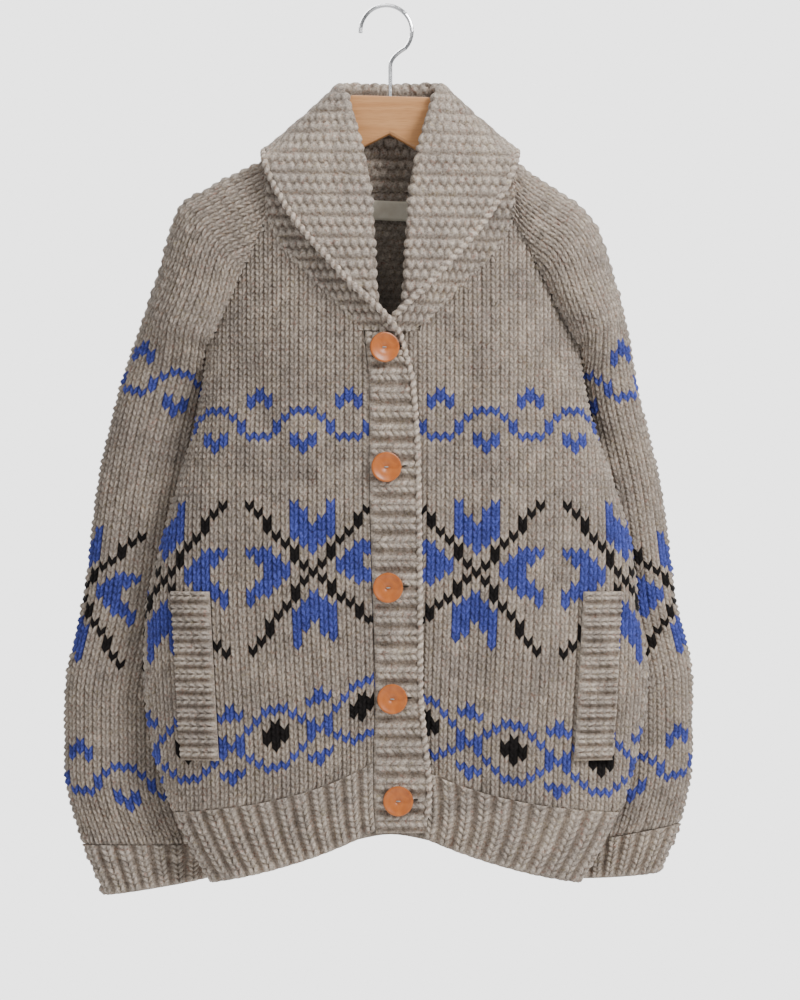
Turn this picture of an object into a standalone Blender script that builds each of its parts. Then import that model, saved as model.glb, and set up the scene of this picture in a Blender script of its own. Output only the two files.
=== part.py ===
"""A hand-knitted shawl-collar cardigan on a wooden hanger, in metres, +Z up, its front towards -Y.

The origin is the inner top of the hook's bend, where a rail would hold it. "Right" and "left" are the
wearer's, so the right side lies at -X. Tables are in millimetres: x is measured outwards from the centre
line, drop is measured down from the origin, and y is depth, negative to the front.
"""
import math

import bmesh
import bpy
import numpy as np

MM = 0.001
GARMENT_SHIFT = 4.0  # the garment's centre line lies this far from the hook's bend, towards +X

KNIT = 4.0  # thickness of the stocking-stitch wall
COLLAR_KNIT = 4.6  # garter stitch is a little thicker
SEAM = 0.32  # gap between two pieces that are sewn together

# Rows of stitches are counted up from the underarm: the body runs from BODY_FOOT to 0, the yoke to YOKE_TOP.
BODY_FOOT = -64
YOKE_TOP = 20
SLEEVE_FOOT = -76
CUFF_FOOT = -84.5
UNDERARM_DROP = 321.0
RIB_DROP = 711.0  # where the hem's rib starts, at the centre
HEM_DROP = 779.0  # the front hem's lower edge, at the centre
BAND_FOOT = 789.0
HEM_DROP_BACK = 797.0
UNDERARM_GAP = 6.0  # half the depth between front and back at the foot of the raglan seam
UNDERARM_STRIP = 4.4  # the sleeve's side of the underarm stands this far out, clear of the body's
UNDERARM_CLEAR = 1.7  # the raglan seam widens by this where the body's side seam meets it
UNDERARM_X = {"right": 172.0, "left": 177.0}
RAGLAN_TOP = {"x": 117.0, "drop": 202.0, "depth": 22.0}
RAGLAN_TOP_BACK = {"x": 104.0, "drop": 176.0, "depth": 22.0}

BODY = {  # the outline and the depth, by the drop of the side seam
    "drop": (202, 260, 321, 387, 453, 520, 587, 644, 700, 757, 805, 842),
    "right_x": (150, 166, 174, 184, 202, 221, 235, 236, 230, 214, 193, 172),
    "left_x": (156, 171, 179, 191, 213, 232, 239, 247, 240, 226, 204, 182),
    "front": (26, 35, 42, 45, 46, 46, 46, 45, 43, 40, 37, 34),
    "back": (24, 30, 34, 35, 36, 36, 36, 35, 34, 32, 30, 28),
}
COURSE_DROOP = {"from_drop": 426.0, "to_drop": 682.0, "at_side": 61.0}
COURSE_CURL = (2.2, 1.1)  # how early a course of the front droops, at the top and at the foot of the hem's rib

FOLDS = {  # soft folds of the body: the middle of each, how far x moves for each mm down, its size and its lift
    "face": ("front", "front", "front", "front", "front", "front", "front", "back", "back", "back", "back"),
    "side": ("right", "right", "right", "left", "left", "left", "left", "right", "left", "right", "left"),
    "x": (132, 92, 150, 138, 96, 152, 70, 120, 128, 60, 84),
    "drop": (372, 330, 520, 366, 345, 505, 600, 380, 390, 560, 610),
    "lean": (-0.5, 0.06, 0.12, -0.6, -0.05, 0.2, 0.1, -0.5, -0.45, 0.1, -0.1),
    "half_length": (75, 115, 95, 80, 110, 90, 80, 80, 85, 150, 110),
    "half_width": (17, 24, 24, 16, 25, 22, 20, 18, 19, 30, 26),
    "lift": (-3.4, 2.8, -2.4, -3.8, 2.6, -2.6, -2.0, -3.0, -3.2, 3.0, -2.4),
}
SLEEVE_FOLDS = {  # the same on a sleeve, by row and turn: every one but the last is a trough
    "side": ("right", "right", "right", "left", "left", "left", "right", "left"),
    "row": (-14, -33, -62, -12, -37, -60, -22, -26),
    "turn": (0.2, 0.3, 0.22, 0.18, 0.27, 0.3, 0.72, 0.75),
    "lean": (-0.012, 0.008, -0.006, -0.014, -0.008, 0.007, 0.01, -0.01),
    "half_rows": (9, 12, 10, 8, 11, 9, 12, 12),
    "half_turn": (0.05, 0.045, 0.05, 0.045, 0.05, 0.045, 0.06, 0.06),
    "lift": (-4.0, -3.0, -3.0, -4.2, -3.2, -2.6, -3.0, -3.2),
}

NECKLINE = {  # the front edge above the band, where the collar is picked up
    "drop": (202, 230, 250, 268, 290, 312),
    "x": (117, 104, 86, 67, 46, 26),
}
BAND = {  # the button band: its seam on the right front, and its free edge
    "drop": (312, 340, 360, 434, 560, 650, 704, 745, 790),
    "seam_x": (-25, -22, -20, -20, -17, -14, -16, -16, -13),
    "free_x": (9, 17, 22, 27, 29, 29.5, 34, 38, 34),
}
BAND_RIBS = 27
BAND_KNIT = 3.6
BAND_RIB = 1.8
BAND_SWELL = {"share": (0.0, 0.5, 0.9, 1.0), "rib": (0.0, 1.0, 1.0, 0.4)}  # across the band, how far its ribs rise
BAND_PROUD = -0.6  # the band's face lies this far in front of the right front's
UNDERLAP = 7.2  # how much deeper the left front lies where it passes behind the band

SLEEVE = {  # the ring of each row: its inner edge, and the depth of its front and back
    "row": (-84.5, -76, -65, -55, -41, -24, -12, -6, -3, -1.2, 0, 5, 9, 13, 17, 20),
    "inner_x": (178, 174, 171, 169, 168, 167, 168, 171, 177, 177, 172, 0, 0, 0, 0, 0),
    "inner_drop": (840, 806, 745, 686, 590, 473, 398, 358, 341, 328, 321, 0, 0, 0, 0, 0),
    "inner_y": (36, 40, 45, 48, 50, 47, 40, 26, 11, 4, 0, 0, 0, 0, 0, 0),
    "outer_y": (30, 32, 35, 36, 37, 34, 27, 20, 15, 12, 10, 6, 3, 1, 0, 0),
    "bulge": (18, 19, 23, 24, 24, 24, 24, 24, 24, 24, 24, 20, 16, 11, 7, 4),
}
SLEEVE_OUTLINE = {  # the sleeve's outer edge, from the cuff up over the shoulder to the neck
    "row": (-84.5, -76, -65, -55, -41, -24, -10, 0, 5.4, 9.4, 11.5, 13.5, 15.5, 17.8, 20),
    "right_x": (277, 298, 316, 316, 298, 283, 261, 238, 220, 209, 199, 181, 163, 142, 121),
    "right_drop": (856, 806, 732, 665, 568, 454, 364, 299, 247, 207, 188, 177, 167, 157, 147),
    "left_x": (260, 281, 293, 293, 277, 262, 240, 225, 213, 200, 188, 170, 152, 134, 119),
    "left_drop": (834, 786, 715, 650, 570, 460, 370, 296, 254, 216, 197, 183, 171, 159, 147),
}
RIB_PITCH = 16.6  # one knit and one purl rib of the hem
RIB_HEIGHT = 2.2

COLLAR = {  # stations from the foot of the V (0), past the raglan seams (5, 9), to the middle of the back (12)
    "station": (0, 1, 2, 3, 4, 5, 6, 7, 8, 9, 10, 11, 12),
    "seam_x": (26, 46, 67, 86, 104, 117, 119, 121, 115, 104, 70, 35, 0),
    "seam_drop": (312, 290, 268, 250, 230, 202, 172, 147, 160, 176, 176, 176, 176),
    "fold_x": (-8, 9, 12, 13, 15, 19, 26, 41, 45, 36, 24, 12, 0),
    "fold_drop": (313, 287, 262, 238, 205, 170, 134, 82, 73, 70, 70, 70, 70),
    "fold_y": (-46, -48, -47, -44, -38, -30, -24, -5, 12, 19, 22, 23, 23),
    "edge_x": (-9, 11, 34, 60, 87, 107, 117, 119, 112, 90, 60, 31, 0),
    "edge_drop": (315, 290, 268, 240, 208, 175, 150, 137, 148, 167, 181, 188, 190),
    "edge_y": (-48, -52, -52, -47, -41, -36, -29, -2, 27, 41, 48, 50, 50),
    "lapel": (1.6, 3.0, 4.6, 4.6, 4.6, 4.6, 4.6, 4.6, 4.6, 4.6, 4.6, 4.6, 4.6),
}
LAYER_GAP = 1.2  # between the collar's two layers
COLLAR_SEAM = 1.3

BUTTONS = {  # centre of each button on the band, and how far it is turned to the side
    "x": (-5.7, -3.8, -1.9, 1.9, 7.6),
    "drop": (328.7, 441.8, 555.8, 661.0, 758.0),
    "turn": (14.0, 8.0, -3.0, 2.0, 0.0),
}
BUTTON_ACROSS = 28.5
BUTTON_THICK = 4.2

WELT = {"top_x": 171.0, "foot_x": 162.0, "width": 36.0, "top_drop": 560.0, "foot_drop": 720.0}
WELT_RIBS = 13
WELT_KNIT = 3.4
SLIT_ROWS = (-56, -38)
SLIT_COLUMN = 7
FRONT_ROWS = (-64, -60, -56, -50, -44, -38, -32, -25, -18, -11, -6, -3, -1, 0, 3, 6, 9, 12, 15, 17.5, 19.4)
HEMS = (0.014, 0.5, 1.0)  # shares of the hem's height where it has a ring of points

HANGER = {"thickness": 12.0, "top_drop": 86.0, "top_half": 39.5, "notch_drop": 122.5, "end_x": 192.0}
HANGER_TILT = 1.6  # degrees, the left arm down
HANGER_ARM = {  # the upper and lower edges of one arm
    "x": (46, 70, 100, 130, 160, 180),
    "top": (98, 120, 148, 166, 181, 196),
    "foot": (147, 159, 174, 188, 203, 213),
}
HOOK = {"radius": 24.7, "wire": 1.9, "tip_angle": 184.0, "stem_drop": 56.0}

LABEL = {"left": -19.0, "right": 17.0, "top": 184.0, "foot": 203.0, "thick": 0.9, "tilt": 2.5}


def smooth(x, xs, ys):
    """A smooth curve through a table's points that never overshoots them."""
    xs, ys = np.asarray(xs, float), np.asarray(ys, float)
    step, rise = np.diff(xs), np.diff(ys)
    slope = rise / step
    tangent = np.zeros_like(xs)
    tangent[0], tangent[-1] = slope[0], slope[-1]
    same = slope[:-1] * slope[1:] > 0
    mean = 2 * slope[:-1] * slope[1:] / np.where(same, slope[:-1] + slope[1:], 1)
    tangent[1:-1] = np.where(same, mean, 0)
    x = np.clip(np.asarray(x, float), xs[0], xs[-1])
    i = np.clip(np.searchsorted(xs, x, side="right") - 1, 0, len(xs) - 2)
    t = (x - xs[i]) / step[i]
    first = (1 + 2 * t) * (1 - t) ** 2 * ys[i] + t * (1 - t) ** 2 * step[i] * tangent[i]
    return first + t * t * (3 - 2 * t) * ys[i + 1] - t * t * (1 - t) * step[i] * tangent[i + 1]


def ease(t):
    """0 up to t = 0, 1 from t = 1, and a soft step between."""
    t = np.clip(t, 0, 1)
    return t * t * (3 - 2 * t)


def blend(a, b, t):
    return a + (b - a) * t


def raglan(row, side, face):
    """x, drop and depth of the raglan seam at a row of the yoke, on the front or the back."""
    top = RAGLAN_TOP if face == "front" else RAGLAN_TOP_BACK
    t = np.clip(np.asarray(row, float) / YOKE_TOP, 0, 1)
    x = blend(UNDERARM_X[side], top["x"], t)
    drop = blend(UNDERARM_DROP, top["drop"], t)
    return x, drop, blend(UNDERARM_GAP, top["depth"], t**0.7)


def course(row, face, hem=0.0):
    """Drop of a course at the centre, and how much further it hangs at the side seam."""
    row = np.asarray(row, float)
    top = raglan(row, "right", face)[1]
    low = blend(UNDERARM_DROP, RIB_DROP, row / BODY_FOOT)
    drop = np.where(row > 0, top, low) + hem * ((HEM_DROP if face == "front" else HEM_DROP_BACK) - RIB_DROP)
    span = COURSE_DROOP["to_drop"] - COURSE_DROOP["from_drop"]
    droop = COURSE_DROOP["at_side"] * ease((drop - COURSE_DROOP["from_drop"]) / span)
    return drop, droop - hem * (HEM_DROP_BACK - HEM_DROP) * (face == "back")


def body_ring(row, side, face, hem=0.0):
    """Half width and depth of the body's lens-shaped section at a row, and its droop."""
    drop, droop = course(row, face, hem)
    at_side = drop + droop
    depth = smooth(at_side, BODY["drop"], BODY[face])
    x, _, gap = raglan(row, side, face)
    half_below = smooth(at_side, BODY["drop"], BODY[side + "_x"])
    cut = np.minimum(gap / depth, 0.999)
    half_above = x / np.sqrt(1 - cut**2)
    near = ease(1 + np.asarray(row, float) / 3)
    half = np.where(np.asarray(row) > 0, half_above, blend(half_below, half_above, near))
    return half, depth, drop, droop


def fold_lift(x, row, drop, side, face, half):
    """How far the folds lift the body's face outwards, fading out before the seams."""
    lift = 0.0
    for k, own_side in enumerate(FOLDS["side"]):
        if own_side != side or FOLDS["face"][k] != face:
            continue
        below = drop - FOLDS["drop"][k]
        off = (x - FOLDS["x"][k] - FOLDS["lean"][k] * below) / FOLDS["half_width"][k]
        lift = lift + FOLDS["lift"][k] * np.exp(-(off**2) - (below / FOLDS["half_length"][k]) ** 2)
    seam_x = np.where(np.asarray(row) > 0, raglan(row, side, face)[0], half)
    return lift * ease((seam_x - x) / 24) * ease((x - 38) / 20) * ease((np.asarray(row) - BODY_FOOT) / 7)


def body_point(angle, row, side, face, hem=0.0, inside=0.0):
    """A point of the body, by its angle round the lens from the centre (0) to the side seam (a quarter turn)."""
    half, depth, drop, droop = body_ring(row, side, face, hem)
    across = np.sin(angle)
    reach = np.abs(across)
    if face == "front":
        curl = blend(*COURSE_CURL, hem)
        shape = (1 - np.exp(-curl * reach)) / (1 - math.exp(-curl))
    else:
        shape = (np.sqrt(reach**2 + 0.01) - 0.1) / (math.sqrt(1.01) - 0.1)
    down = drop + droop * shape
    lean_x, lean_y = across / half, np.cos(angle) / depth
    lean = np.hypot(lean_x, lean_y)
    x = half * across - inside * lean_x / lean
    y = depth * np.cos(angle) - inside * lean_y / lean + fold_lift(half * across, row, down, side, face, half)
    if face == "front":
        y = y - UNDERLAP * (1 - ease((x - 50) / 90)) if side == "left" else y
    sign = 1 if side == "left" else -1
    return np.stack([sign * x, -y if face == "front" else y, -down], -1)


def angle_at(x, row, side, face, hem=0.0):
    """The angle at which the body's outer face has this x."""
    half = body_ring(row, side, face, hem)[0]
    return np.arcsin(np.clip(np.asarray(x, float) / half, -0.9999, 0.9999))


def band_side(drop, side):
    """x of the seam between a front and its band, at the drop that a course has at the centre line."""
    if side == "right":
        return -smooth(drop, BAND["drop"], BAND["seam_x"])
    return smooth(drop, BAND["drop"], BAND["free_x"]) - 3


def band_side_seen(drop, side):
    """The same seam at a true drop, in the straight runs that join one row of the front to the next."""
    rows = [(row, 0.0) for row in FRONT_ROWS[:14][::-1]] + [(BODY_FOOT, hem) for hem in HEMS]
    x = [float(band_side(course(row, "front", hem)[0], side)) for row, hem in rows]
    down = [-float(body_point(angle_at(v, row, side, "front", hem), row, side, "front", hem)[2])
            for v, (row, hem) in zip(x, rows)]
    return np.interp(drop, down, x)


def front_edge_x(row, side, hem=0.0):
    """Where a front panel starts: at its band below, along the neckline above."""
    drop = course(row, "front", hem)[0]
    below = band_side(drop, side)
    above = smooth(drop, NECKLINE["drop"], NECKLINE["x"])
    return np.where(drop < NECKLINE["drop"][-1], np.maximum(above, below), below)


def sleeve_ring(turn, row, side, inside=0.0):
    """A point of a sleeve, by its turn from the front raglan or inner edge (0) over the outer edge (0.5) to the back (1)."""
    row = np.asarray(row, float)
    front, back = raglan(row, side, "front"), raglan(row, side, "back")
    inner_x = smooth(np.minimum(row, 0), SLEEVE["row"][:11], SLEEVE["inner_x"][:11])
    inner_x = inner_x + (UNDERARM_X[side] - UNDERARM_X["right"]) * ease(1 + row / 30)
    inner_drop = smooth(np.minimum(row, 0), SLEEVE["row"][:11], SLEEVE["inner_drop"][:11])
    inner_y = smooth(row, SLEEVE["row"], SLEEVE["inner_y"])
    gap_below = UNDERARM_GAP * np.exp(np.minimum(row, 0) / 1.4)
    above = row > 0
    clear = UNDERARM_CLEAR * np.exp(-np.abs(row) / 0.9)
    ends = []
    for x, drop, gap in (front, back):
        gap = np.where(above, gap, gap_below)
        ends.append((np.where(above, x, inner_x) + SEAM / 2 + clear, np.where(above, drop, inner_drop), gap))
    outer_x = smooth(row, SLEEVE_OUTLINE["row"], SLEEVE_OUTLINE[side + "_x"])
    outer_drop = smooth(row, SLEEVE_OUTLINE["row"], SLEEVE_OUTLINE[side + "_drop"])
    outer_y = smooth(row, SLEEVE["row"], SLEEVE["outer_y"])
    bulge = smooth(row, SLEEVE["row"], SLEEVE["bulge"])
    swing = (1 - np.cos(2 * math.pi * turn)) / 2
    share = (1 - np.cos(math.pi * turn)) / 2
    base_x = blend(ends[0][0], ends[1][0], share)
    base_drop = blend(ends[0][1], ends[1][1], share)
    gap = blend(ends[0][2], ends[1][2], share)
    if inside:
        taken = np.minimum(gap - 0.2, inside)
        lead_x, lead_drop = outer_x - base_x, outer_drop - base_drop
        length = np.hypot(lead_x, lead_drop)
        inwards = np.where(above, 0, inside * (0.3 + 0.7 * ease(-row / 2)))
        outer_x, outer_drop = outer_x - lead_x / length * inside, outer_drop - lead_drop / length * inside
        base_x, base_drop = base_x + lead_x / length * inwards, base_drop + lead_drop / length * inwards
        bulge = bulge - (inside - 0.7 * taken)
        gap = gap - taken
    x = base_x + (outer_x - base_x) * swing
    drop = base_drop + (outer_drop - base_drop) * swing
    y = inner_y + (outer_y - inner_y) * swing - gap * np.cos(math.pi * turn) - bulge * np.sin(2 * math.pi * turn)
    for k, own_side in enumerate(SLEEVE_FOLDS["side"]):
        if own_side == side:
            above_fold = row - SLEEVE_FOLDS["row"][k]
            off = (turn - SLEEVE_FOLDS["turn"][k] - SLEEVE_FOLDS["lean"][k] * above_fold) / SLEEVE_FOLDS["half_turn"][k]
            fade = np.exp(-(off**2) - (above_fold / SLEEVE_FOLDS["half_rows"][k]) ** 2) * ease(-row / 4)
            y = y + SLEEVE_FOLDS["lift"][k] * fade * (1 if SLEEVE_FOLDS["turn"][k] > 0.5 else -1)
    sign = 1 if side == "left" else -1
    return np.stack([sign * x, y, -drop], -1)


def material(name, colour, roughness, metallic=0.0):
    made = bpy.data.materials.new(name)
    made.use_nodes = True
    shader = made.node_tree.nodes["Principled BSDF"]
    shader.inputs["Base Color"].default_value = (*colour, 1)
    shader.inputs["Roughness"].default_value = roughness
    shader.inputs["Metallic"].default_value = metallic
    return made


def add_object(name, points, faces, finish, shift=GARMENT_SHIFT):
    """A mesh object from points in millimetres, its faces turned to point out."""
    mesh = bpy.data.meshes.new(name)
    mesh.from_pydata([tuple(p) for p in np.asarray(points, float) * MM], [], [list(f) for f in faces])
    shape = bmesh.new()
    shape.from_mesh(mesh)
    loose = [v for v in shape.verts if not v.link_faces]
    bmesh.ops.delete(shape, geom=loose, context="VERTS")
    bmesh.ops.triangulate(shape, faces=shape.faces[:])
    bmesh.ops.recalc_face_normals(shape, faces=shape.faces[:])
    if shape.calc_volume(signed=True) < 0:
        bmesh.ops.reverse_faces(shape, faces=shape.faces[:])
    shape.to_mesh(mesh)
    shape.free()
    mesh.shade_smooth()
    mesh.set_sharp_from_angle(angle=math.radians(50))
    mesh.materials.append(finish)
    made = bpy.data.objects.new(name, mesh)
    made.location.x = shift * MM
    bpy.context.scene.collection.objects.link(made)
    return made


def wall(name, outer, inner, finish, kept=None, round_about=False):
    """A closed wall between two grids of points. Every edge that only one kept cell uses gets a rim."""
    rows, columns = outer.shape[:2]
    cells_across = columns if round_about else columns - 1
    if kept is None:
        kept = np.ones((rows - 1, cells_across), bool)
    points = np.concatenate([outer.reshape(-1, 3), inner.reshape(-1, 3)])
    below = rows * columns
    faces = []
    edges = {}
    for i in range(rows - 1):
        for j in range(cells_across):
            if not kept[i, j]:
                continue
            after = (j + 1) % columns
            ring = [i * columns + j, i * columns + after, (i + 1) * columns + after, (i + 1) * columns + j]
            faces.append(ring)
            faces.append([below + k for k in reversed(ring)])
            for a, b in zip(ring, ring[1:] + ring[:1]):
                edges[a, b] = True
    for a, b in edges:
        if (b, a) not in edges:
            faces.append([b, a, below + a, below + b])
    return add_object(name, points, faces, finish)


def ribbed_wall(name, outer, inner, finish, step, round_about=False):
    """A closed wall whose outer grid has step times as many columns as its plain inner one."""
    rows, columns = outer.shape[:2]
    few = inner.shape[1]
    points = np.concatenate([outer.reshape(-1, 3), inner.reshape(-1, 3)])
    below = rows * columns
    faces = []
    for i in range(rows - 1):
        for j in range(columns if round_about else columns - 1):
            k = (j + 1) % columns
            faces.append([i * columns + j, i * columns + k, (i + 1) * columns + k, (i + 1) * columns + j])
        for j in range(few if round_about else few - 1):
            k = (j + 1) % few
            faces.append([below + n for n in (i * few + j, (i + 1) * few + j, (i + 1) * few + k, i * few + k)])
    for i in (0, rows - 1):
        for j in range(few if round_about else few - 1):
            fine = [i * columns + (j * step + n) % columns for n in range(step + 1)]
            faces.append(fine + [below + i * few + (j + 1) % few, below + i * few + j])
    if not round_about:
        for i in range(rows - 1):
            for j, k in ((0, 0), (columns - 1, few - 1)):
                ends = [i * columns + j, (i + 1) * columns + j]
                faces.append(ends + [below + (i + 1) * few + k, below + i * few + k])
    return add_object(name, points, faces, finish)


def outward(grid):
    """Unit normals of a grid of points, from the run of its rows and columns."""
    along, across = np.gradient(grid, axis=0), np.gradient(grid, axis=1)
    normal = np.cross(across, along)
    return normal / np.maximum(np.linalg.norm(normal, axis=-1, keepdims=True), 1e-9)


def make_front(side, finish):
    """One front: stocking stitch from the rib to the neckline, with a slit behind its pocket welt."""
    rows = np.array(FRONT_ROWS)
    main = np.array([0, 0.14, 0.28, 0.42, 0.55, 0.66, 0.74, 0.79, 0.86, 0.93, 1.0])
    flank = np.array([0.4, 0.75, 1.0])
    row = np.repeat(rows[:, None], len(main) + len(flank), 1)
    inset = SEAM / 2
    half, depth = body_ring(row, side, "front")[:2]
    start = angle_at(front_edge_x(row, side) + inset, row, side, "front")
    gap = raglan(row, side, "front")[2]
    seam_angle = np.arccos(np.clip(gap / depth, 0, 1)) - inset / half
    last_angle = math.pi / 2 - inset / depth
    share = np.concatenate([main, np.ones(len(flank))])
    beyond = np.concatenate([np.zeros(len(main)), flank])
    angle = start + (seam_angle - start) * share
    angle = angle + (last_angle - seam_angle) * beyond
    angle = np.where((row > 0) & (beyond > 0), seam_angle, angle)
    outer = body_point(angle, row, side, "front")
    inner = body_point(angle, row, side, "front", inside=KNIT)
    kept = np.ones((len(rows) - 1, row.shape[1] - 1), bool)
    kept[rows[:-1] >= 0, len(main) - 1 :] = False
    slit = (rows[:-1] >= SLIT_ROWS[0]) & (rows[:-1] < SLIT_ROWS[1])
    kept[slit, SLIT_COLUMN] = False
    return wall("front_" + side, outer, inner, finish, kept)


def make_back(finish):
    """The back, both halves in one piece, shaped along both raglan seams."""
    rows = np.array([-64, -56, -48, -40, -32, -24, -16, -9, -5, -2, 0, 4, 8, 12, 16, 19.6])
    main = np.linspace(0, 1, 10)
    flank = np.array([0.45, 1.0])
    halves = []
    inset = SEAM / 2
    for side in ("right", "left"):
        row = np.repeat(rows[:, None], len(main) + len(flank), 1)
        half, depth = body_ring(row, side, "back")[:2]
        gap = raglan(row, side, "back")[2]
        seam_angle = np.arccos(np.clip(gap / depth, 0, 1)) - inset / half
        last_angle = math.pi / 2 - inset / depth
        share = np.concatenate([main, np.ones(len(flank))])
        beyond = np.concatenate([np.zeros(len(main)), flank])
        angle = seam_angle * share + (last_angle - seam_angle) * beyond
        angle = np.where((row > 0) & (beyond > 0), seam_angle, angle)
        outer = body_point(angle, row, side, "back")
        inner = body_point(angle, row, side, "back", inside=KNIT)
        halves.append((outer, inner))
    outer = np.concatenate([halves[0][0][:, :0:-1], halves[1][0]], 1)
    inner = np.concatenate([halves[0][1][:, :0:-1], halves[1][1]], 1)
    kept = np.ones((len(rows) - 1, outer.shape[1] - 1), bool)
    above = rows[:-1] >= 0
    kept[above, : len(flank)] = False
    kept[above, -len(flank) :] = False
    return wall("back", outer, inner, finish, kept)


def make_sleeve(side, finish):
    """One sleeve: a tube from the rib to the underarm, then open along both raglan seams up to the neck."""
    rows = np.array([-76, -68, -59, -50, -41, -32, -24, -16, -10, -6, -3, -1.2, -0.06, 3, 6, 9, 11.5, 13.5, 15.5, 17.8, 19.8])
    turns = (1 - np.cos(np.linspace(0, math.pi, 17))) / 2 * 0.35 + np.linspace(0, 1, 17) * 0.65
    row, turn = np.meshgrid(rows, turns, indexing="ij")
    outer, inner = sleeve_ring(turn, row, side), sleeve_ring(turn, row, side, KNIT)
    mid_outer, mid_inner = (outer[:, 0] + outer[:, -1]) / 2, (inner[:, 0] + inner[:, -1]) / 2
    sign = 1 if side == "left" else -1
    mid_outer[:, 0] += sign * UNDERARM_STRIP * np.exp(np.minimum(rows, 0) / 1.4)
    mid_inner[:, 0] += sign * UNDERARM_STRIP * np.exp(np.minimum(rows, 0) / 1.4)
    outer = np.concatenate([outer, mid_outer[:, None]], 1)
    inner = np.concatenate([inner, mid_inner[:, None]], 1)
    kept = np.ones((len(rows) - 1, outer.shape[1]), bool)
    kept[rows[:-1] >= -0.06, -2:] = False
    return wall("sleeve_" + side, outer, inner, finish, kept, round_about=True)


def rib_wave(count, step):
    """Height of each fine point over a run of ribs, step points to a rib: two stitches up, two down."""
    phase = (np.arange(count * step + 1) % step) / step
    return np.where((phase > 0.2) & (phase < 0.8), 1.0, 0.0)


def hem_grid(side, face, share, inside=0.0):
    """Points of a hem at shares of the way from its front edge or the middle of the back to the side seam."""
    rows = []
    for hem in HEMS:
        start = 0.0
        if face == "front":
            start = angle_at(front_edge_x(BODY_FOOT, side, hem) + SEAM / 2, BODY_FOOT, side, "front", hem)
        last = math.pi / 2 - SEAM / 2 / body_ring(BODY_FOOT, side, face, hem)[1]
        rows.append(body_point(start + (last - start) * share, float(BODY_FOOT), side, face, hem, inside))
    return np.array(rows)


def make_hem(name, side, face, finish):
    """A rib hem below one panel: its ribs stand out of the plain wall behind."""
    step = 4
    outer_parts, inner_parts = [], []
    for run_side in [side] if face == "front" else ["right", "left"]:
        dense = np.linspace(0, 1, 400)
        path = hem_grid(run_side, face, dense)[1]
        length = np.concatenate([[0], np.cumsum(np.hypot(*np.diff(path[:, :2], axis=0).T))])
        count = int(round(length[-1] / RIB_PITCH))
        share = np.interp(np.linspace(0, length[-1], count * step + 1), length, dense)
        height = rib_wave(count, step)[None, :, None] * RIB_HEIGHT
        outer = hem_grid(run_side, face, share)
        facing = outward(outer)
        facing *= np.sign((facing * outer * [1, 1, 0]).sum(-1, keepdims=True))
        outer = outer + facing * height
        inner = hem_grid(run_side, face, share[::step], KNIT - 0.6)
        if face == "back" and run_side == "right":
            outer, inner = outer[:, :0:-1], inner[:, :0:-1]
        outer_parts.append(outer)
        inner_parts.append(inner)
    outer, inner = np.concatenate(outer_parts, 1), np.concatenate(inner_parts, 1)
    return ribbed_wall(name, outer, inner, finish, step)


def make_cuff(side, finish):
    """A rib cuff, a tube with its ribs raised outside."""
    rows = np.array([CUFF_FOOT, (CUFF_FOOT + SLEEVE_FOOT) / 2, SLEEVE_FOOT - 0.12])
    count, step = 13, 4
    turns = np.arange(count * step) / (count * step)
    row, turn = np.meshgrid(rows, turns, indexing="ij")
    outer = sleeve_ring(turn, row, side)
    centre = outer.mean(1, keepdims=True)
    away = outer - centre
    away[..., 2] = 0
    away /= np.linalg.norm(away, axis=-1, keepdims=True)
    height = np.tile(rib_wave(count, step)[:-1], 1)[None, :, None] * RIB_HEIGHT
    outer = outer + away * height
    few_row, few_turn = np.meshgrid(rows, turns[::step], indexing="ij")
    inner = sleeve_ring(few_turn, few_row, side, KNIT - 0.6)
    return ribbed_wall("cuff_" + side, outer, inner, finish, step, round_about=True)


def band_surface(x, drop, behind):
    """The face of the button band at x and drop, moved back by a depth where it passes under."""
    row = (drop - UNDERARM_DROP) / (RIB_DROP - UNDERARM_DROP) * BODY_FOOT
    hem = np.clip((drop - RIB_DROP) / (HEM_DROP - RIB_DROP), 0, 1)
    half, depth = body_ring(np.clip(row, BODY_FOOT, 0), "right", "front", hem)[:2]
    y = -depth * np.sqrt(1 - np.minimum(np.abs(x) / half, 0.99) ** 2)
    return np.stack([x, y + behind, -drop], -1)


def make_band(name, over, finish):
    """A front band in sideways rib: the over band carries the buttonholes, the under band the buttons."""
    step = 4
    drops = np.linspace(BAND["drop"][0] + 1, BAND_FOOT, BAND_RIBS * step + 1)
    if not over:
        drops = np.linspace(BAND["drop"][0] + 14, BAND_FOOT - 4, BAND_RIBS * step + 1)
    seam = -band_side_seen(drops, "right")
    free = smooth(drops, BAND["drop"], BAND["free_x"])
    if over:
        first, last, behind, height = seam + 1.3 * SEAM, free, BAND_PROUD, BAND_RIB
    else:
        last = band_side_seen(drops, "left") - SEAM
        first, behind, height = last - free + seam + 7, UNDERLAP - 1.2, BAND_RIB * 0.6
    shares = np.array(BAND_SWELL["share"] if over else [0.0, 0.5, 1.0])
    x = first[None] + (last - first)[None] * shares[:, None]
    drop = np.repeat(drops[None], len(shares), 0)
    outer = band_surface(x, drop, behind)
    ends = np.array(BAND_SWELL["rib"] if over else [0.0, 1, 0])[:, None]
    outer[..., 1] -= rib_wave(BAND_RIBS, step)[None] * height * ends
    inner = band_surface(x[:, ::step], drop[:, ::step], behind + BAND_KNIT)
    return ribbed_wall(name, outer, inner, finish, step)


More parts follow.
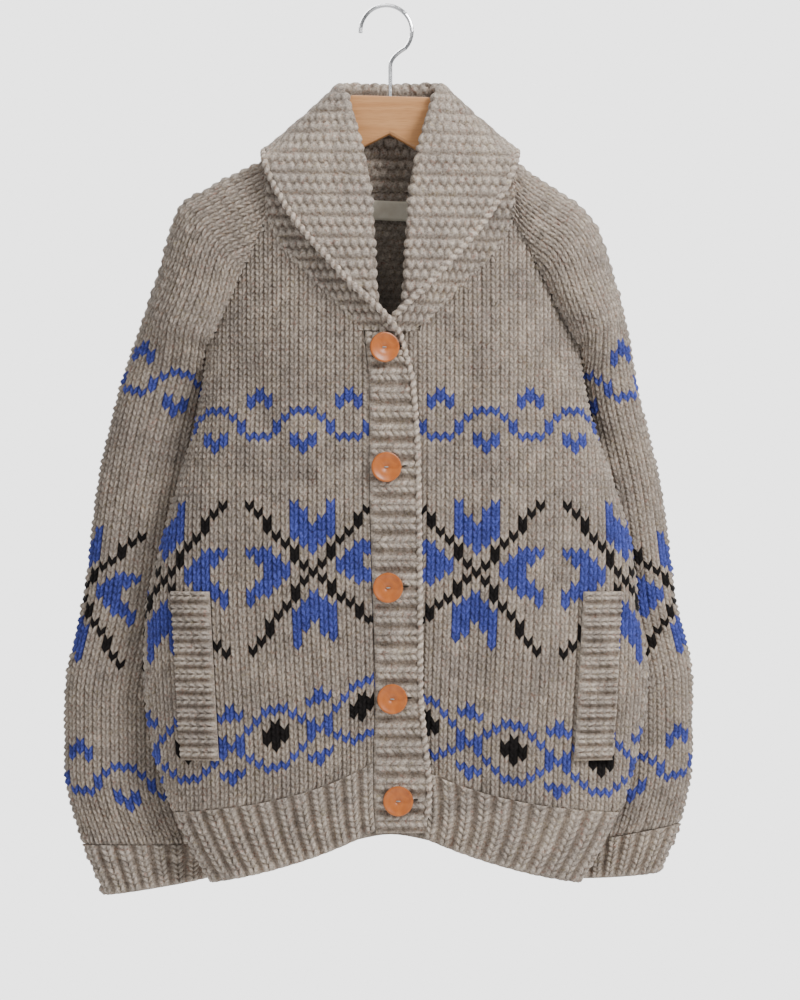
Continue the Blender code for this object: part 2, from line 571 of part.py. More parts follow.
def neckline(t, side):
    """A point of the neckline at a collar station: on the front, over the sleeve's head or on the back."""
    x = smooth(t, COLLAR["station"], COLLAR["seam_x"])
    if t < 5:
        drop = smooth(t, COLLAR["station"], COLLAR["seam_drop"])
        rows = np.array(FRONT_ROWS[13:])[::-1]
        x = np.interp(drop, course(rows, "front")[0], front_edge_x(rows, side))
        return front_patch(x, drop, side) + [0, KNIT / 2, 0]
    if t < 9:
        return sleeve_ring((t - 5) / 4, float(YOKE_TOP), side, KNIT / 2)
    return body_point(angle_at(x, YOKE_TOP, side, "back"), float(YOKE_TOP), side, "back", inside=KNIT / 2)


def collar_station(t, side):
    """Seam, fold and free edge of the collar at a station, with its lapel's thickness."""
    at = {key: smooth(t, COLLAR["station"], COLLAR[key]) for key in COLLAR if key != "station"}
    sign = 1 if side == "left" else -1
    points = [neckline(t, side)]
    for part in ("fold", "edge"):
        point = np.array([sign * at[part + "_x"], at[part + "_y"], -at[part + "_drop"]])
        if side == "left":
            point[1] += UNDERLAP * (1 - ease(t / 3.0))
        points.append(point)
    return points, float(at["lapel"])


def collar_section(points, lapel, along):
    """The outline of the folded collar at one station: up the stand, over the fold, down the lapel and back."""
    seam, fold, edge = points
    up = (fold - seam) / np.linalg.norm(fold - seam)
    out = -np.cross(along, up)
    out /= np.linalg.norm(out)
    seam = seam + up * COLLAR_SEAM
    half = COLLAR_KNIT / 2
    radius = (COLLAR_KNIT + LAYER_GAP + lapel) / 2
    turn_at = fold - up * radius
    stand = [blend(seam, turn_at, t) for t in (0, 0.33, 0.66, 1)]
    middle = turn_at + out * (radius - half)
    lapel_top = turn_at + out * (half + LAYER_GAP + lapel / 2)
    down = (edge - lapel_top) / max(np.linalg.norm(edge - lapel_top), 1e-6)
    face = np.cross(np.cross(down, out), down)
    face /= np.linalg.norm(face)
    reach = [blend(lapel_top, edge, t) for t in (0, 0.35, 0.7, 1)]
    outline = [p - out * half for p in stand]
    for angle in (45, 90, 135):
        a = math.radians(angle)
        outline.append(middle - out * radius * math.cos(a) + up * radius * math.sin(a))
    outline += [p + face * lapel / 2 for p in reach]
    outline.append(edge + down * lapel * 0.45)
    outline += [p - face * lapel / 2 for p in reach[::-1]]
    outline += [p + out * half for p in stand[::-1]]
    return np.array(outline)


def make_collar(finish):
    """The shawl collar, one long strip of garter stitch folded back on itself, from one foot of the V to the other."""
    stations = [("right", t) for t in np.linspace(0, 12, 25)]
    stations += [("left", t) for t in np.linspace(12, 0, 25)[1:]]
    found = [collar_station(t, side) for side, t in stations]
    middles = np.array([(p[0] + p[1]) / 2 for p, _ in found])
    along = np.gradient(middles, axis=0)
    along /= np.linalg.norm(along, axis=1, keepdims=True)
    sections = np.array([collar_section(p, lapel, a) for (p, lapel), a in zip(found, along)])
    rows, columns = sections.shape[:2]
    faces = []
    for i in range(rows - 1):
        for j in range(columns):
            k = (j + 1) % columns
            faces.append([i * columns + j, (i + 1) * columns + j, (i + 1) * columns + k, i * columns + k])
    faces.append(list(range(columns)))
    faces.append([(rows - 1) * columns + j for j in reversed(range(columns))])
    return add_object("collar", sections.reshape(-1, 3), faces, finish)


def front_patch(x, drop, side):
    """Points and normals of a front's outer face at given x and drop, for what lies on it."""
    row = (drop - UNDERARM_DROP) / (RIB_DROP - UNDERARM_DROP) * BODY_FOOT
    for _ in range(6):
        angle = angle_at(x, row, side, "front")
        now = -body_point(angle, row, side, "front")[..., 2]
        row = row + (drop - now) / (RIB_DROP - UNDERARM_DROP) * BODY_FOOT
    return body_point(angle_at(x, row, side, "front"), row, side, "front")


def make_welt(side, finish):
    """The rib welt that stands over a pocket's slit."""
    step = 4
    drops = np.linspace(WELT["top_drop"], WELT["foot_drop"], WELT_RIBS * step + 1)
    inner_x = np.interp(drops, drops[[0, -1]], [WELT["top_x"], WELT["foot_x"]])
    inner_x = inner_x + (12 if side == "left" else 0)
    shares = np.array([0.0, 0.5, 0.9, 1.0])
    x = inner_x[None] + WELT["width"] * shares[:, None]
    drop = np.repeat(drops[None], len(shares), 0)
    base = front_patch(x, drop, side)
    facing = outward(base)
    facing *= -np.sign(facing[..., 1:2])
    ends = np.array([0.0, 1, 1, 0.3])[:, None]
    height = rib_wave(WELT_RIBS, step)[None] * RIB_HEIGHT * 0.8 * ends
    outer = base + facing * (SEAM + WELT_KNIT + height)[..., None]
    inner = (base + facing * SEAM)[:, ::step]
    return ribbed_wall("pocket_welt_" + side, outer, inner, finish, step)


def make_button(number, finish):
    """A turned button with a raised rim and a well at its middle, set against the band."""
    radius, thick = BUTTON_ACROSS / 2, BUTTON_THICK
    profile = [(0, 0.5), (0.2, 0.5), (0.3, 0.64), (0.84, 1.0), (0.97, 0.9), (1.0, 0.5), (0.9, 0)]
    sides = 16
    x, drop = BUTTONS["x"][number], BUTTONS["drop"][number]
    turn = math.radians(BUTTONS["turn"][number])
    under = [(dx, dz) for dx in (-0.85, -0.4, 0, 0.4, 0.85) for dz in (-0.9, 0, 0.9)]
    seam = -float(band_side_seen(drop, "right"))
    free = float(smooth(drop, BAND["drop"], BAND["free_x"]))
    seat = min(
        band_surface(np.array(x + dx * radius), np.array(drop + dz * radius), BAND_PROUD)[1]
        - BAND_RIB * np.interp((x + dx * radius - seam) / (free - seam), BAND_SWELL["share"], BAND_SWELL["rib"])
        - dx * radius * math.sin(turn)
        for dx, dz in under
    )
    seat -= SEAM
    points, faces = [(0, -profile[0][1] * thick, 0)], []
    for r, height in profile[1:]:
        for k in range(sides):
            a = 2 * math.pi * k / sides
            points.append((radius * r * math.cos(a), -height * thick, radius * r * math.sin(a)))
    points.append((0, 0, 0))
    for k in range(sides):
        after = (k + 1) % sides
        faces.append([0, 1 + k, 1 + after])
        for ring in range(len(profile) - 2):
            a, b = 1 + ring * sides, 1 + (ring + 1) * sides
            faces.append([a + k, b + k, b + after, a + after])
        last = 1 + (len(profile) - 2) * sides
        faces.append([last + k, len(points) - 1, last + after])
    made = add_object(f"button_{number + 1}", points, faces, finish)
    made.location = ((x + GARMENT_SHIFT) * MM, seat * MM, -drop * MM)
    made.rotation_euler = (0, 0, turn)
    return made


def make_label(finish):
    """The woven label inside the back neck, bare."""
    x, drop = np.meshgrid(np.linspace(LABEL["left"], LABEL["right"], 4), [LABEL["top"], LABEL["foot"]], indexing="xy")
    drop = drop + np.sin(math.radians(LABEL["tilt"])) * x
    row = YOKE_TOP * (UNDERARM_DROP - drop) / (UNDERARM_DROP - RAGLAN_TOP_BACK["drop"])
    half, depth = body_ring(row, "right", "back")[:2]
    y = (depth - KNIT) * np.sqrt(1 - (x / half) ** 2) - 0.35
    outer = np.stack([x, y - LABEL["thick"], -drop], -1)
    inner = np.stack([x, y, -drop], -1)
    return wall("label", outer, inner, finish)


def make_hanger(finish):
    """The wooden hanger: a flat-topped middle with a notch below, and two arms that slope to the shoulders."""
    half = HANGER["thickness"] / 2
    top = [(HANGER["top_half"], HANGER["top_drop"])] + list(zip(HANGER_ARM["x"], HANGER_ARM["top"]))
    foot = list(zip(HANGER_ARM["x"], HANGER_ARM["foot"]))[::-1]
    end = (HANGER["end_x"], (HANGER_ARM["top"][-1] + HANGER_ARM["foot"][-1]) / 2)
    right = top + [end] + foot
    outline = right + [(0, HANGER["notch_drop"])] + [(-x, drop) for x, drop in reversed(right)]
    count = len(outline)
    points = [(x, y, -drop) for y in (-half, half) for x, drop in outline]
    faces = [list(range(count)), list(range(2 * count - 1, count - 1, -1))]
    faces += [[k, (k + 1) % count, count + (k + 1) % count, count + k] for k in range(count)]
    tilt = math.radians(HANGER_TILT)
    points = [(x * math.cos(tilt) + z * math.sin(tilt), y, z * math.cos(tilt) - x * math.sin(tilt)) for x, y, z in points]
    lift = HANGER["top_drop"] * (math.cos(tilt) - 1)
    sideways = HANGER["top_drop"] * math.sin(tilt)
    points = [(x + sideways, y, z + lift) for x, y, z in points]
    made = add_object("hanger", points, faces, finish)
    edge = made.modifiers.new("rounded edges", "BEVEL")
    edge.width = 0.003
    edge.segments = 2
    edge.limit_method = "ANGLE"
    edge.angle_limit = math.radians(60)
    return made


def make_hook(finish):
    """The steel hook: a round bend over the rail, an S back to the middle and a straight stem into the wood."""
    r = HOOK["radius"]
    centre = (0.0, -r + HOOK["wire"])
    route = []
    for k in range(23):
        a = math.radians(HOOK["tip_angle"] - (HOOK["tip_angle"] + 42) * k / 22)
        route.append((centre[0] + r * math.cos(a), centre[1] + r * math.sin(a)))
    x, z = route[-1]
    stem = (GARMENT_SHIFT, -HOOK["stem_drop"])
    for k in range(1, 7):
        t = k / 6
        route.append((blend(x, stem[0], t * (2 - t)), blend(z, stem[1], t)))
    route.append((GARMENT_SHIFT, -HANGER["top_drop"] + SEAM))
    curve = bpy.data.curves.new("hook", "CURVE")
    curve.dimensions = "3D"
    curve.bevel_depth = HOOK["wire"] * MM
    curve.bevel_resolution = 2
    curve.use_fill_caps = True
    spline = curve.splines.new("POLY")
    spline.points.add(len(route) - 1)
    for point, (px, pz) in zip(spline.points, route):
        point.co = (px * MM, 0, pz * MM, 1)
    curve.materials.append(finish)
    made = bpy.data.objects.new("hook", curve)
    bpy.context.scene.collection.objects.link(made)
    return made


def main():
    for old in list(bpy.data.objects):
        bpy.data.objects.remove(old)
    wool = material("heather wool", (0.36, 0.31, 0.26), 0.95)
    rib = material("ribbed wool", (0.34, 0.29, 0.24), 0.95)
    wood = material("beech", (0.66, 0.40, 0.20), 0.45)
    steel = material("polished steel", (0.75, 0.75, 0.76), 0.18, 1.0)
    amber = material("amber resin", (0.62, 0.20, 0.05), 0.35)
    cotton = material("woven label", (0.70, 0.62, 0.48), 0.85)
    for side in ("right", "left"):
        make_front(side, wool)
        make_sleeve(side, wool)
        make_cuff(side, rib)
        make_hem("hem_front_" + side, side, "front", rib)
        make_welt(side, rib)
    make_back(wool)
    make_hem("hem_back", "right", "back", rib)
    make_band("band_over", True, rib)
    make_band("band_under", False, rib)
    make_collar(wool)
    for number in range(len(BUTTONS["x"])):
        make_button(number, amber)
    make_label(cotton)
    make_hanger(wood)
    make_hook(steel)


main()
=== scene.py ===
# %% [markdown]
# # A chunky knitted cardigan on a wooden hanger
#
# This lesson dresses the packed model of a hand-knitted shawl-collar cardigan. The solids already have the
# right size and folds, so each piece here is made on the same curves, stitch by stitch. Every stitch of
# stocking stitch is a small V of yarn, and the coloured motifs are single stitches of another yarn, as in
# real stranded knitting. Lengths are in millimetres until a mesh is made.

# %% Load the packed model
import math

import bpy
import numpy as np
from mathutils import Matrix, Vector


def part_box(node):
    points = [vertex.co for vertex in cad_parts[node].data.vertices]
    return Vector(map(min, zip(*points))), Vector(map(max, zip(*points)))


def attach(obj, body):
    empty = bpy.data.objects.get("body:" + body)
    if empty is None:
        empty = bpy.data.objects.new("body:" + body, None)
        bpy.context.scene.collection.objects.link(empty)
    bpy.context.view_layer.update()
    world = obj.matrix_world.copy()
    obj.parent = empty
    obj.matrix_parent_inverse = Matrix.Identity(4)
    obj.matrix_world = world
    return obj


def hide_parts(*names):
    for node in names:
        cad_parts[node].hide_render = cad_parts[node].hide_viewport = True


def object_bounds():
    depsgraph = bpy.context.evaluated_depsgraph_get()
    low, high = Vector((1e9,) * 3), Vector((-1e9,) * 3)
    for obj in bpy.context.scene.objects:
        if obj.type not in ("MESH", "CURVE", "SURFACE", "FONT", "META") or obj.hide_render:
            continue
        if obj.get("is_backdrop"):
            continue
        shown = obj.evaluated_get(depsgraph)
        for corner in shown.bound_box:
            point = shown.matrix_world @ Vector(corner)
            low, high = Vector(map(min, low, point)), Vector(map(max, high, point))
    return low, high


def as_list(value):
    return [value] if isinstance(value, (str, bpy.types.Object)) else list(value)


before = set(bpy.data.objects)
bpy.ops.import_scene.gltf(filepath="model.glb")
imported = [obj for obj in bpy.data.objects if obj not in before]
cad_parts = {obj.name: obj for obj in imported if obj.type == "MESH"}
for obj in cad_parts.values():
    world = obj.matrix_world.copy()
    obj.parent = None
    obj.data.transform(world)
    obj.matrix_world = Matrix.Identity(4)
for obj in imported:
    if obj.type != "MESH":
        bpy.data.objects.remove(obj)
cad_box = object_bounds()
print("nodes in the frame:", len(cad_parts))

# %% [markdown]
# ## Sizes
#
# The same named sizes shape the solids, so a stitch lands where its wall is. Lengths are in millimetres, and a
# table's columns belong together: the third value of each key is the third point. Rows of stitches are counted
# from the underarm: the body runs down to row -64, the sleeves to row -76, and the yoke up to row 20. x is
# measured outwards from the centre line, drop downwards from the rail, and y is negative to the front.

# %% Sizes of the pieces
MM = 0.001
GARMENT_SHIFT = 4.0  # the garment's centre line lies this far from the hook's bend, towards +X

KNIT = 4.0  # thickness of the stocking-stitch wall
COLLAR_KNIT = 4.6  # garter stitch is a little thicker
SEAM = 0.32  # gap between two pieces that are sewn together

# Rows of stitches are counted up from the underarm: the body runs from BODY_FOOT to 0, the yoke to YOKE_TOP.
BODY_FOOT = -64
YOKE_TOP = 20
SLEEVE_FOOT = -76
CUFF_FOOT = -84.5
UNDERARM_DROP = 321.0
RIB_DROP = 711.0  # where the hem's rib starts, at the centre
HEM_DROP = 779.0  # the front hem's lower edge, at the centre
BAND_FOOT = 789.0
HEM_DROP_BACK = 797.0
UNDERARM_GAP = 6.0  # half the depth between front and back at the foot of the raglan seam
UNDERARM_STRIP = 4.4  # the sleeve's side of the underarm stands this far out, clear of the body's
UNDERARM_CLEAR = 1.7  # the raglan seam widens by this where the body's side seam meets it
UNDERARM_X = {"right": 172.0, "left": 177.0}
RAGLAN_TOP = {"x": 117.0, "drop": 202.0, "depth": 22.0}
RAGLAN_TOP_BACK = {"x": 104.0, "drop": 176.0, "depth": 22.0}

BODY = {  # the outline and the depth, by the drop of the side seam
    "drop": (202, 260, 321, 387, 453, 520, 587, 644, 700, 757, 805, 842),
    "right_x": (150, 166, 174, 184, 202, 221, 235, 236, 230, 214, 193, 172),
    "left_x": (156, 171, 179, 191, 213, 232, 239, 247, 240, 226, 204, 182),
    "front": (26, 35, 42, 45, 46, 46, 46, 45, 43, 40, 37, 34),
    "back": (24, 30, 34, 35, 36, 36, 36, 35, 34, 32, 30, 28),
}
COURSE_DROOP = {"from_drop": 426.0, "to_drop": 682.0, "at_side": 61.0}
COURSE_CURL = (2.2, 1.1)  # how early a front's course droops, at the top and at the foot of the hem's rib

FOLDS = {  # soft folds of the body: each one's middle, how far x moves for each mm down, its size and lift
    "face": ("front", "front", "front", "front", "front", "front", "front", "back", "back", "back", "back"),
    "side": ("right", "right", "right", "left", "left", "left", "left", "right", "left", "right", "left"),
    "x": (132, 92, 150, 138, 96, 152, 70, 120, 128, 60, 84),
    "drop": (372, 330, 520, 366, 345, 505, 600, 380, 390, 560, 610),
    "lean": (-0.5, 0.06, 0.12, -0.6, -0.05, 0.2, 0.1, -0.5, -0.45, 0.1, -0.1),
    "half_length": (75, 115, 95, 80, 110, 90, 80, 80, 85, 150, 110),
    "half_width": (17, 24, 24, 16, 25, 22, 20, 18, 19, 30, 26),
    "lift": (-3.4, 2.8, -2.4, -3.8, 2.6, -2.6, -2.0, -3.0, -3.2, 3.0, -2.4),
}
FOLD_FADES = (24, 20, 7)  # folds fade out over 24 mm at a seam, 20 mm at the band and 7 rows at the hem
FOLDS_FROM = 38  # no fold comes nearer to the centre line
SLEEVE_FOLDS = {  # the same on a sleeve, by row and turn, all of them troughs
    "side": ("right", "right", "right", "left", "left", "left", "right", "left"),
    "row": (-14, -33, -62, -12, -37, -60, -22, -26),
    "turn": (0.2, 0.3, 0.22, 0.18, 0.27, 0.3, 0.72, 0.75),
    "lean": (-0.012, 0.008, -0.006, -0.014, -0.008, 0.007, 0.01, -0.01),
    "half_rows": (9, 12, 10, 8, 11, 9, 12, 12),
    "half_turn": (0.05, 0.045, 0.05, 0.045, 0.05, 0.045, 0.06, 0.06),
    "lift": (-4.0, -3.0, -3.0, -4.2, -3.2, -2.6, -3.0, -3.2),
}

NECKLINE = {  # the front edge above the band, where the collar is picked up
    "drop": (202, 230, 250, 268, 290, 312),
    "x": (117, 104, 86, 67, 46, 26),
}
BAND = {  # the button band: its seam on the right front, and its free edge
    "drop": (312, 340, 360, 434, 560, 650, 704, 745, 790),
    "seam_x": (-25, -22, -20, -20, -17, -14, -16, -16, -13),
    "free_x": (9, 17, 22, 27, 29, 29.5, 34, 38, 34),
}
BAND_RIBS = 27
BAND_KNIT = 3.6
BAND_PROUD = -0.6  # the band's face lies this far in front of the right front's
UNDERLAP = 7.2  # how much deeper the left front lies where it passes behind the band
UNDERLAP_FROM = 50.0  # it comes forward again from this far out, over UNDERLAP_WIDTH
UNDERLAP_WIDTH = 90.0

SLEEVE = {  # the ring of each row: its inner edge, and the depth of its front and back
    "row": (-84.5, -76, -65, -55, -41, -24, -12, -6, -3, -1.2, 0, 5, 9, 13, 17, 20),
    "inner_x": (178, 174, 171, 169, 168, 167, 168, 171, 177, 177, 172, 0, 0, 0, 0, 0),
    "inner_drop": (840, 806, 745, 686, 590, 473, 398, 358, 341, 328, 321, 0, 0, 0, 0, 0),
    "inner_y": (36, 40, 45, 48, 50, 47, 40, 26, 11, 4, 0, 0, 0, 0, 0, 0),
    "outer_y": (30, 32, 35, 36, 37, 34, 27, 20, 15, 12, 10, 6, 3, 1, 0, 0),
    "bulge": (18, 19, 23, 24, 24, 24, 24, 24, 24, 24, 24, 20, 16, 11, 7, 4),
}
SLEEVE_OUTLINE = {  # the sleeve's outer edge, from the cuff up over the shoulder to the neck
    "row": (-84.5, -76, -65, -55, -41, -24, -10, 0, 5.4, 9.4, 11.5, 13.5, 15.5, 17.8, 20),
    "right_x": (277, 298, 316, 316, 298, 283, 261, 238, 220, 209, 199, 181, 163, 142, 121),
    "right_drop": (856, 806, 732, 665, 568, 454, 364, 299, 247, 207, 188, 177, 167, 157, 147),
    "left_x": (260, 281, 293, 293, 277, 262, 240, 225, 213, 200, 188, 170, 152, 134, 119),
    "left_drop": (834, 786, 715, 650, 570, 460, 370, 296, 254, 216, 197, 183, 171, 159, 147),
}
RIB_PITCH = 16.6  # one knit and one purl rib of the hem

COLLAR = {  # stations from the foot of the V (0), past the raglan seams (5, 9), to the back's middle (12)
    "station": (0, 1, 2, 3, 4, 5, 6, 7, 8, 9, 10, 11, 12),
    "seam_x": (26, 46, 67, 86, 104, 117, 119, 121, 115, 104, 70, 35, 0),
    "seam_drop": (312, 290, 268, 250, 230, 202, 172, 147, 160, 176, 176, 176, 176),
    "fold_x": (-8, 9, 12, 13, 15, 19, 26, 41, 45, 36, 24, 12, 0),
    "fold_drop": (313, 287, 262, 238, 205, 170, 134, 82, 73, 70, 70, 70, 70),
    "fold_y": (-46, -48, -47, -44, -38, -30, -24, -5, 12, 19, 22, 23, 23),
    "edge_x": (-9, 11, 34, 60, 87, 107, 117, 119, 112, 90, 60, 31, 0),
    "edge_drop": (315, 290, 268, 240, 208, 175, 150, 137, 148, 167, 181, 188, 190),
    "edge_y": (-48, -52, -52, -47, -41, -36, -29, -2, 27, 41, 48, 50, 50),
    "lapel": (1.6, 3.0, 4.6, 4.6, 4.6, 4.6, 4.6, 4.6, 4.6, 4.6, 4.6, 4.6, 4.6),
}
LAYER_GAP = 1.2  # between the collar's two layers
COLLAR_SEAM = 1.3

BUTTONS = {  # centre of each button on the band, and how far it is turned to the side
    "x": (-5.7, -3.8, -1.9, 1.9, 7.6),
    "drop": (328.7, 441.8, 555.8, 661.0, 758.0),
    "turn": (14.0, 8.0, -3.0, 2.0, 0.0),
}
BUTTON_ACROSS = 28.5
BUTTON_THICK = 4.2

WELT = {"top_x": 171.0, "foot_x": 162.0, "width": 36.0, "top_drop": 560.0, "foot_drop": 720.0}
WELT_RIBS = 13
WELT_KNIT = 3.4
FRONT_ROWS = (-64, -60, -56, -50, -44, -38, -32, -25, -18, -11, -6, -3, -1, 0, 3, 6, 9, 12, 15, 17.5, 19.4)
HEMS = (0.014, 0.5, 1.0)  # shares of the hem's height where it has a ring of points
LEFT_WELT_OUT = 12.0  # the left welt lies this much further out than the right one

LABEL = {"left": -19.0, "right": 17.0, "top": 184.0, "foot": 203.0, "thick": 0.9, "tilt": 2.5}
print("folds on the body and the sleeves:", len(FOLDS["x"]), "and", len(SLEEVE_FOLDS["row"]))

# %% [markdown]
# ## Curves
#
# A short table and a smooth curve through it describe an outline better than many loose points. The curve
# used here is monotone: it never swings past the values in the table, which a plain spline would.

# %% Curves through tables
def smooth(x, xs, ys):
    """A smooth curve through a table's points that never overshoots them."""
    xs, ys = np.asarray(xs, float), np.asarray(ys, float)
    step, rise = np.diff(xs), np.diff(ys)
    slope = rise / step
    tangent = np.zeros_like(xs)
    tangent[0], tangent[-1] = slope[0], slope[-1]
    same = slope[:-1] * slope[1:] > 0
    mean = 2 * slope[:-1] * slope[1:] / np.where(same, slope[:-1] + slope[1:], 1)
    tangent[1:-1] = np.where(same, mean, 0)
    x = np.clip(np.asarray(x, float), xs[0], xs[-1])
    i = np.clip(np.searchsorted(xs, x, side="right") - 1, 0, len(xs) - 2)
    t = (x - xs[i]) / step[i]
    first = (1 + 2 * t) * (1 - t) ** 2 * ys[i] + t * (1 - t) ** 2 * step[i] * tangent[i]
    return first + t * t * (3 - 2 * t) * ys[i + 1] - t * t * (1 - t) * step[i] * tangent[i + 1]


def ease(t):
    """0 up to t = 0, 1 from t = 1, and a soft step between."""
    t = np.clip(t, 0, 1)
    return t * t * (3 - 2 * t)


def blend(a, b, t):
    """The value between a, at t = 0, and b, at t = 1."""
    return a + (b - a) * t


def lengths(path):
    """The length of a path up to each of its points."""
    return np.concatenate([[0], np.cumsum(np.linalg.norm(np.diff(path, axis=0), axis=1))])


print("half width of the body at the underarm:", smooth(321, BODY["drop"], BODY["right_x"]))

# %% [markdown]
# ## The body's shape
#
# Seen from above, a hanging cardigan is a thin lens: front and back meet at the side seams. Each row of
# stitches is one course round that lens. The courses droop towards the sides, because the fronts hang from
# the middle of the shoulders, and above the underarm the raglan seams cut them shorter row by row.

# %% Courses of the body
def raglan(row, side, face):
    """x, drop and depth of the raglan seam at a row of the yoke, on the front or the back."""
    top = RAGLAN_TOP if face == "front" else RAGLAN_TOP_BACK
    t = np.clip(np.asarray(row, float) / YOKE_TOP, 0, 1)
    x = blend(UNDERARM_X[side], top["x"], t)
    drop = blend(UNDERARM_DROP, top["drop"], t)
    return x, drop, blend(UNDERARM_GAP, top["depth"], t**0.7)


def course(row, face, hem=0.0):
    """Drop of a course at the centre, and how much further it hangs at the side seam."""
    row = np.asarray(row, float)
    top = raglan(row, "right", face)[1]
    low = blend(UNDERARM_DROP, RIB_DROP, row / BODY_FOOT)
    drop = np.where(row > 0, top, low) + hem * ((HEM_DROP if face == "front" else HEM_DROP_BACK) - RIB_DROP)
    span = COURSE_DROOP["to_drop"] - COURSE_DROOP["from_drop"]
    droop = COURSE_DROOP["at_side"] * ease((drop - COURSE_DROOP["from_drop"]) / span)
    return drop, droop - hem * (HEM_DROP_BACK - HEM_DROP) * (face == "back")


def body_ring(row, side, face, hem=0.0):
    """Half width and depth of the body's lens-shaped section at a row, and its droop."""
    drop, droop = course(row, face, hem)
    at_side = drop + droop
    depth = smooth(at_side, BODY["drop"], BODY[face])
    x, _, gap = raglan(row, side, face)
    half_below = smooth(at_side, BODY["drop"], BODY[side + "_x"])
    cut = np.minimum(gap / depth, 0.999)
    half_above = x / np.sqrt(1 - cut**2)
    near = ease(1 + np.asarray(row, float) / 3)
    half = np.where(np.asarray(row) > 0, half_above, blend(half_below, half_above, near))
    return half, depth, drop, droop


def fold_lift(x, row, drop, side, face, half):
    """How far the folds lift the body's face outwards, fading out before the seams."""
    lift = 0.0
    for k, own_side in enumerate(FOLDS["side"]):
        if own_side != side or FOLDS["face"][k] != face:
            continue
        below = drop - FOLDS["drop"][k]
        off = (x - FOLDS["x"][k] - FOLDS["lean"][k] * below) / FOLDS["half_width"][k]
        lift = lift + FOLDS["lift"][k] * np.exp(-(off**2) - (below / FOLDS["half_length"][k]) ** 2)
    seam_x = np.where(np.asarray(row) > 0, raglan(row, side, face)[0], half)
    seam_fade, band_fade, hem_fade = FOLD_FADES
    near_seam, near_band = ease((seam_x - x) / seam_fade), ease((x - FOLDS_FROM) / band_fade)
    return lift * near_seam * near_band * ease((np.asarray(row) - BODY_FOOT) / hem_fade)


def body_point(angle, row, side, face, hem=0.0, inside=0.0):
    """A point of the body, by its angle round the lens: 0 at the centre, a quarter turn at the side seam."""
    half, depth, drop, droop = body_ring(row, side, face, hem)
    across = np.sin(angle)
    reach = np.abs(across)
    if face == "front":
        curl = blend(*COURSE_CURL, hem)
        shape = (1 - np.exp(-curl * reach)) / (1 - np.exp(-curl))
    else:
        shape = (np.sqrt(reach**2 + 0.01) - 0.1) / (math.sqrt(1.01) - 0.1)
    down = drop + droop * shape
    lean_x, lean_y = across / half, np.cos(angle) / depth
    lean = np.hypot(lean_x, lean_y)
    x = half * across - inside * lean_x / lean
    lift = fold_lift(half * across, row, down, side, face, half)
    y = depth * np.cos(angle) - inside * lean_y / lean + lift
    if face == "front" and side == "left":
        y = y - UNDERLAP * (1 - ease((x - UNDERLAP_FROM) / UNDERLAP_WIDTH))
    sign = 1 if side == "left" else -1
    return np.stack([sign * x, -y if face == "front" else y, -down], -1)


print("the front at the underarm:", body_point(np.array(0.0), np.array(0.0), "right", "front"))


# %% Edges of the fronts
def angle_at(x, row, side, face, hem=0.0):
    """The angle at which the body's outer face has this x."""
    half = body_ring(row, side, face, hem)[0]
    return np.arcsin(np.clip(np.asarray(x, float) / half, -0.9999, 0.9999))


def band_side(drop, side):
    """x of the seam between a front and its band, at the drop that a course has at the centre line."""
    if side == "right":
        return -smooth(drop, BAND["drop"], BAND["seam_x"])
    return smooth(drop, BAND["drop"], BAND["free_x"]) - 3


def band_side_seen(drop, side):
    """The same seam at a true drop, in the straight runs that join one row of the front to the next."""
    rows = [(row, 0.0) for row in FRONT_ROWS[:14][::-1]] + [(BODY_FOOT, hem) for hem in HEMS]
    x = [float(band_side(course(row, "front", hem)[0], side)) for row, hem in rows]
    down = [-float(body_point(angle_at(v, row, side, "front", hem), row, side, "front", hem)[2])
            for v, (row, hem) in zip(x, rows)]
    return np.interp(drop, down, x)


def front_edge_x(row, side, hem=0.0):
    """Where a front panel starts: at its band below, along the neckline above."""
    drop = course(row, "front", hem)[0]
    below = band_side(drop, side)
    above = smooth(drop, NECKLINE["drop"], NECKLINE["x"])
    return np.where(drop < NECKLINE["drop"][-1], np.maximum(above, below), below)


print("the right front's edge at the underarm:", front_edge_x(0.0, "right"))

# %% [markdown]
# ## The sleeve's shape
#
# A raglan sleeve is a tube up to the underarm and then an open strip that runs over the shoulder to the
# neck. One formula covers both: a ring that starts at the front seam, swings out to the sleeve's outline and
# comes back to the back seam.

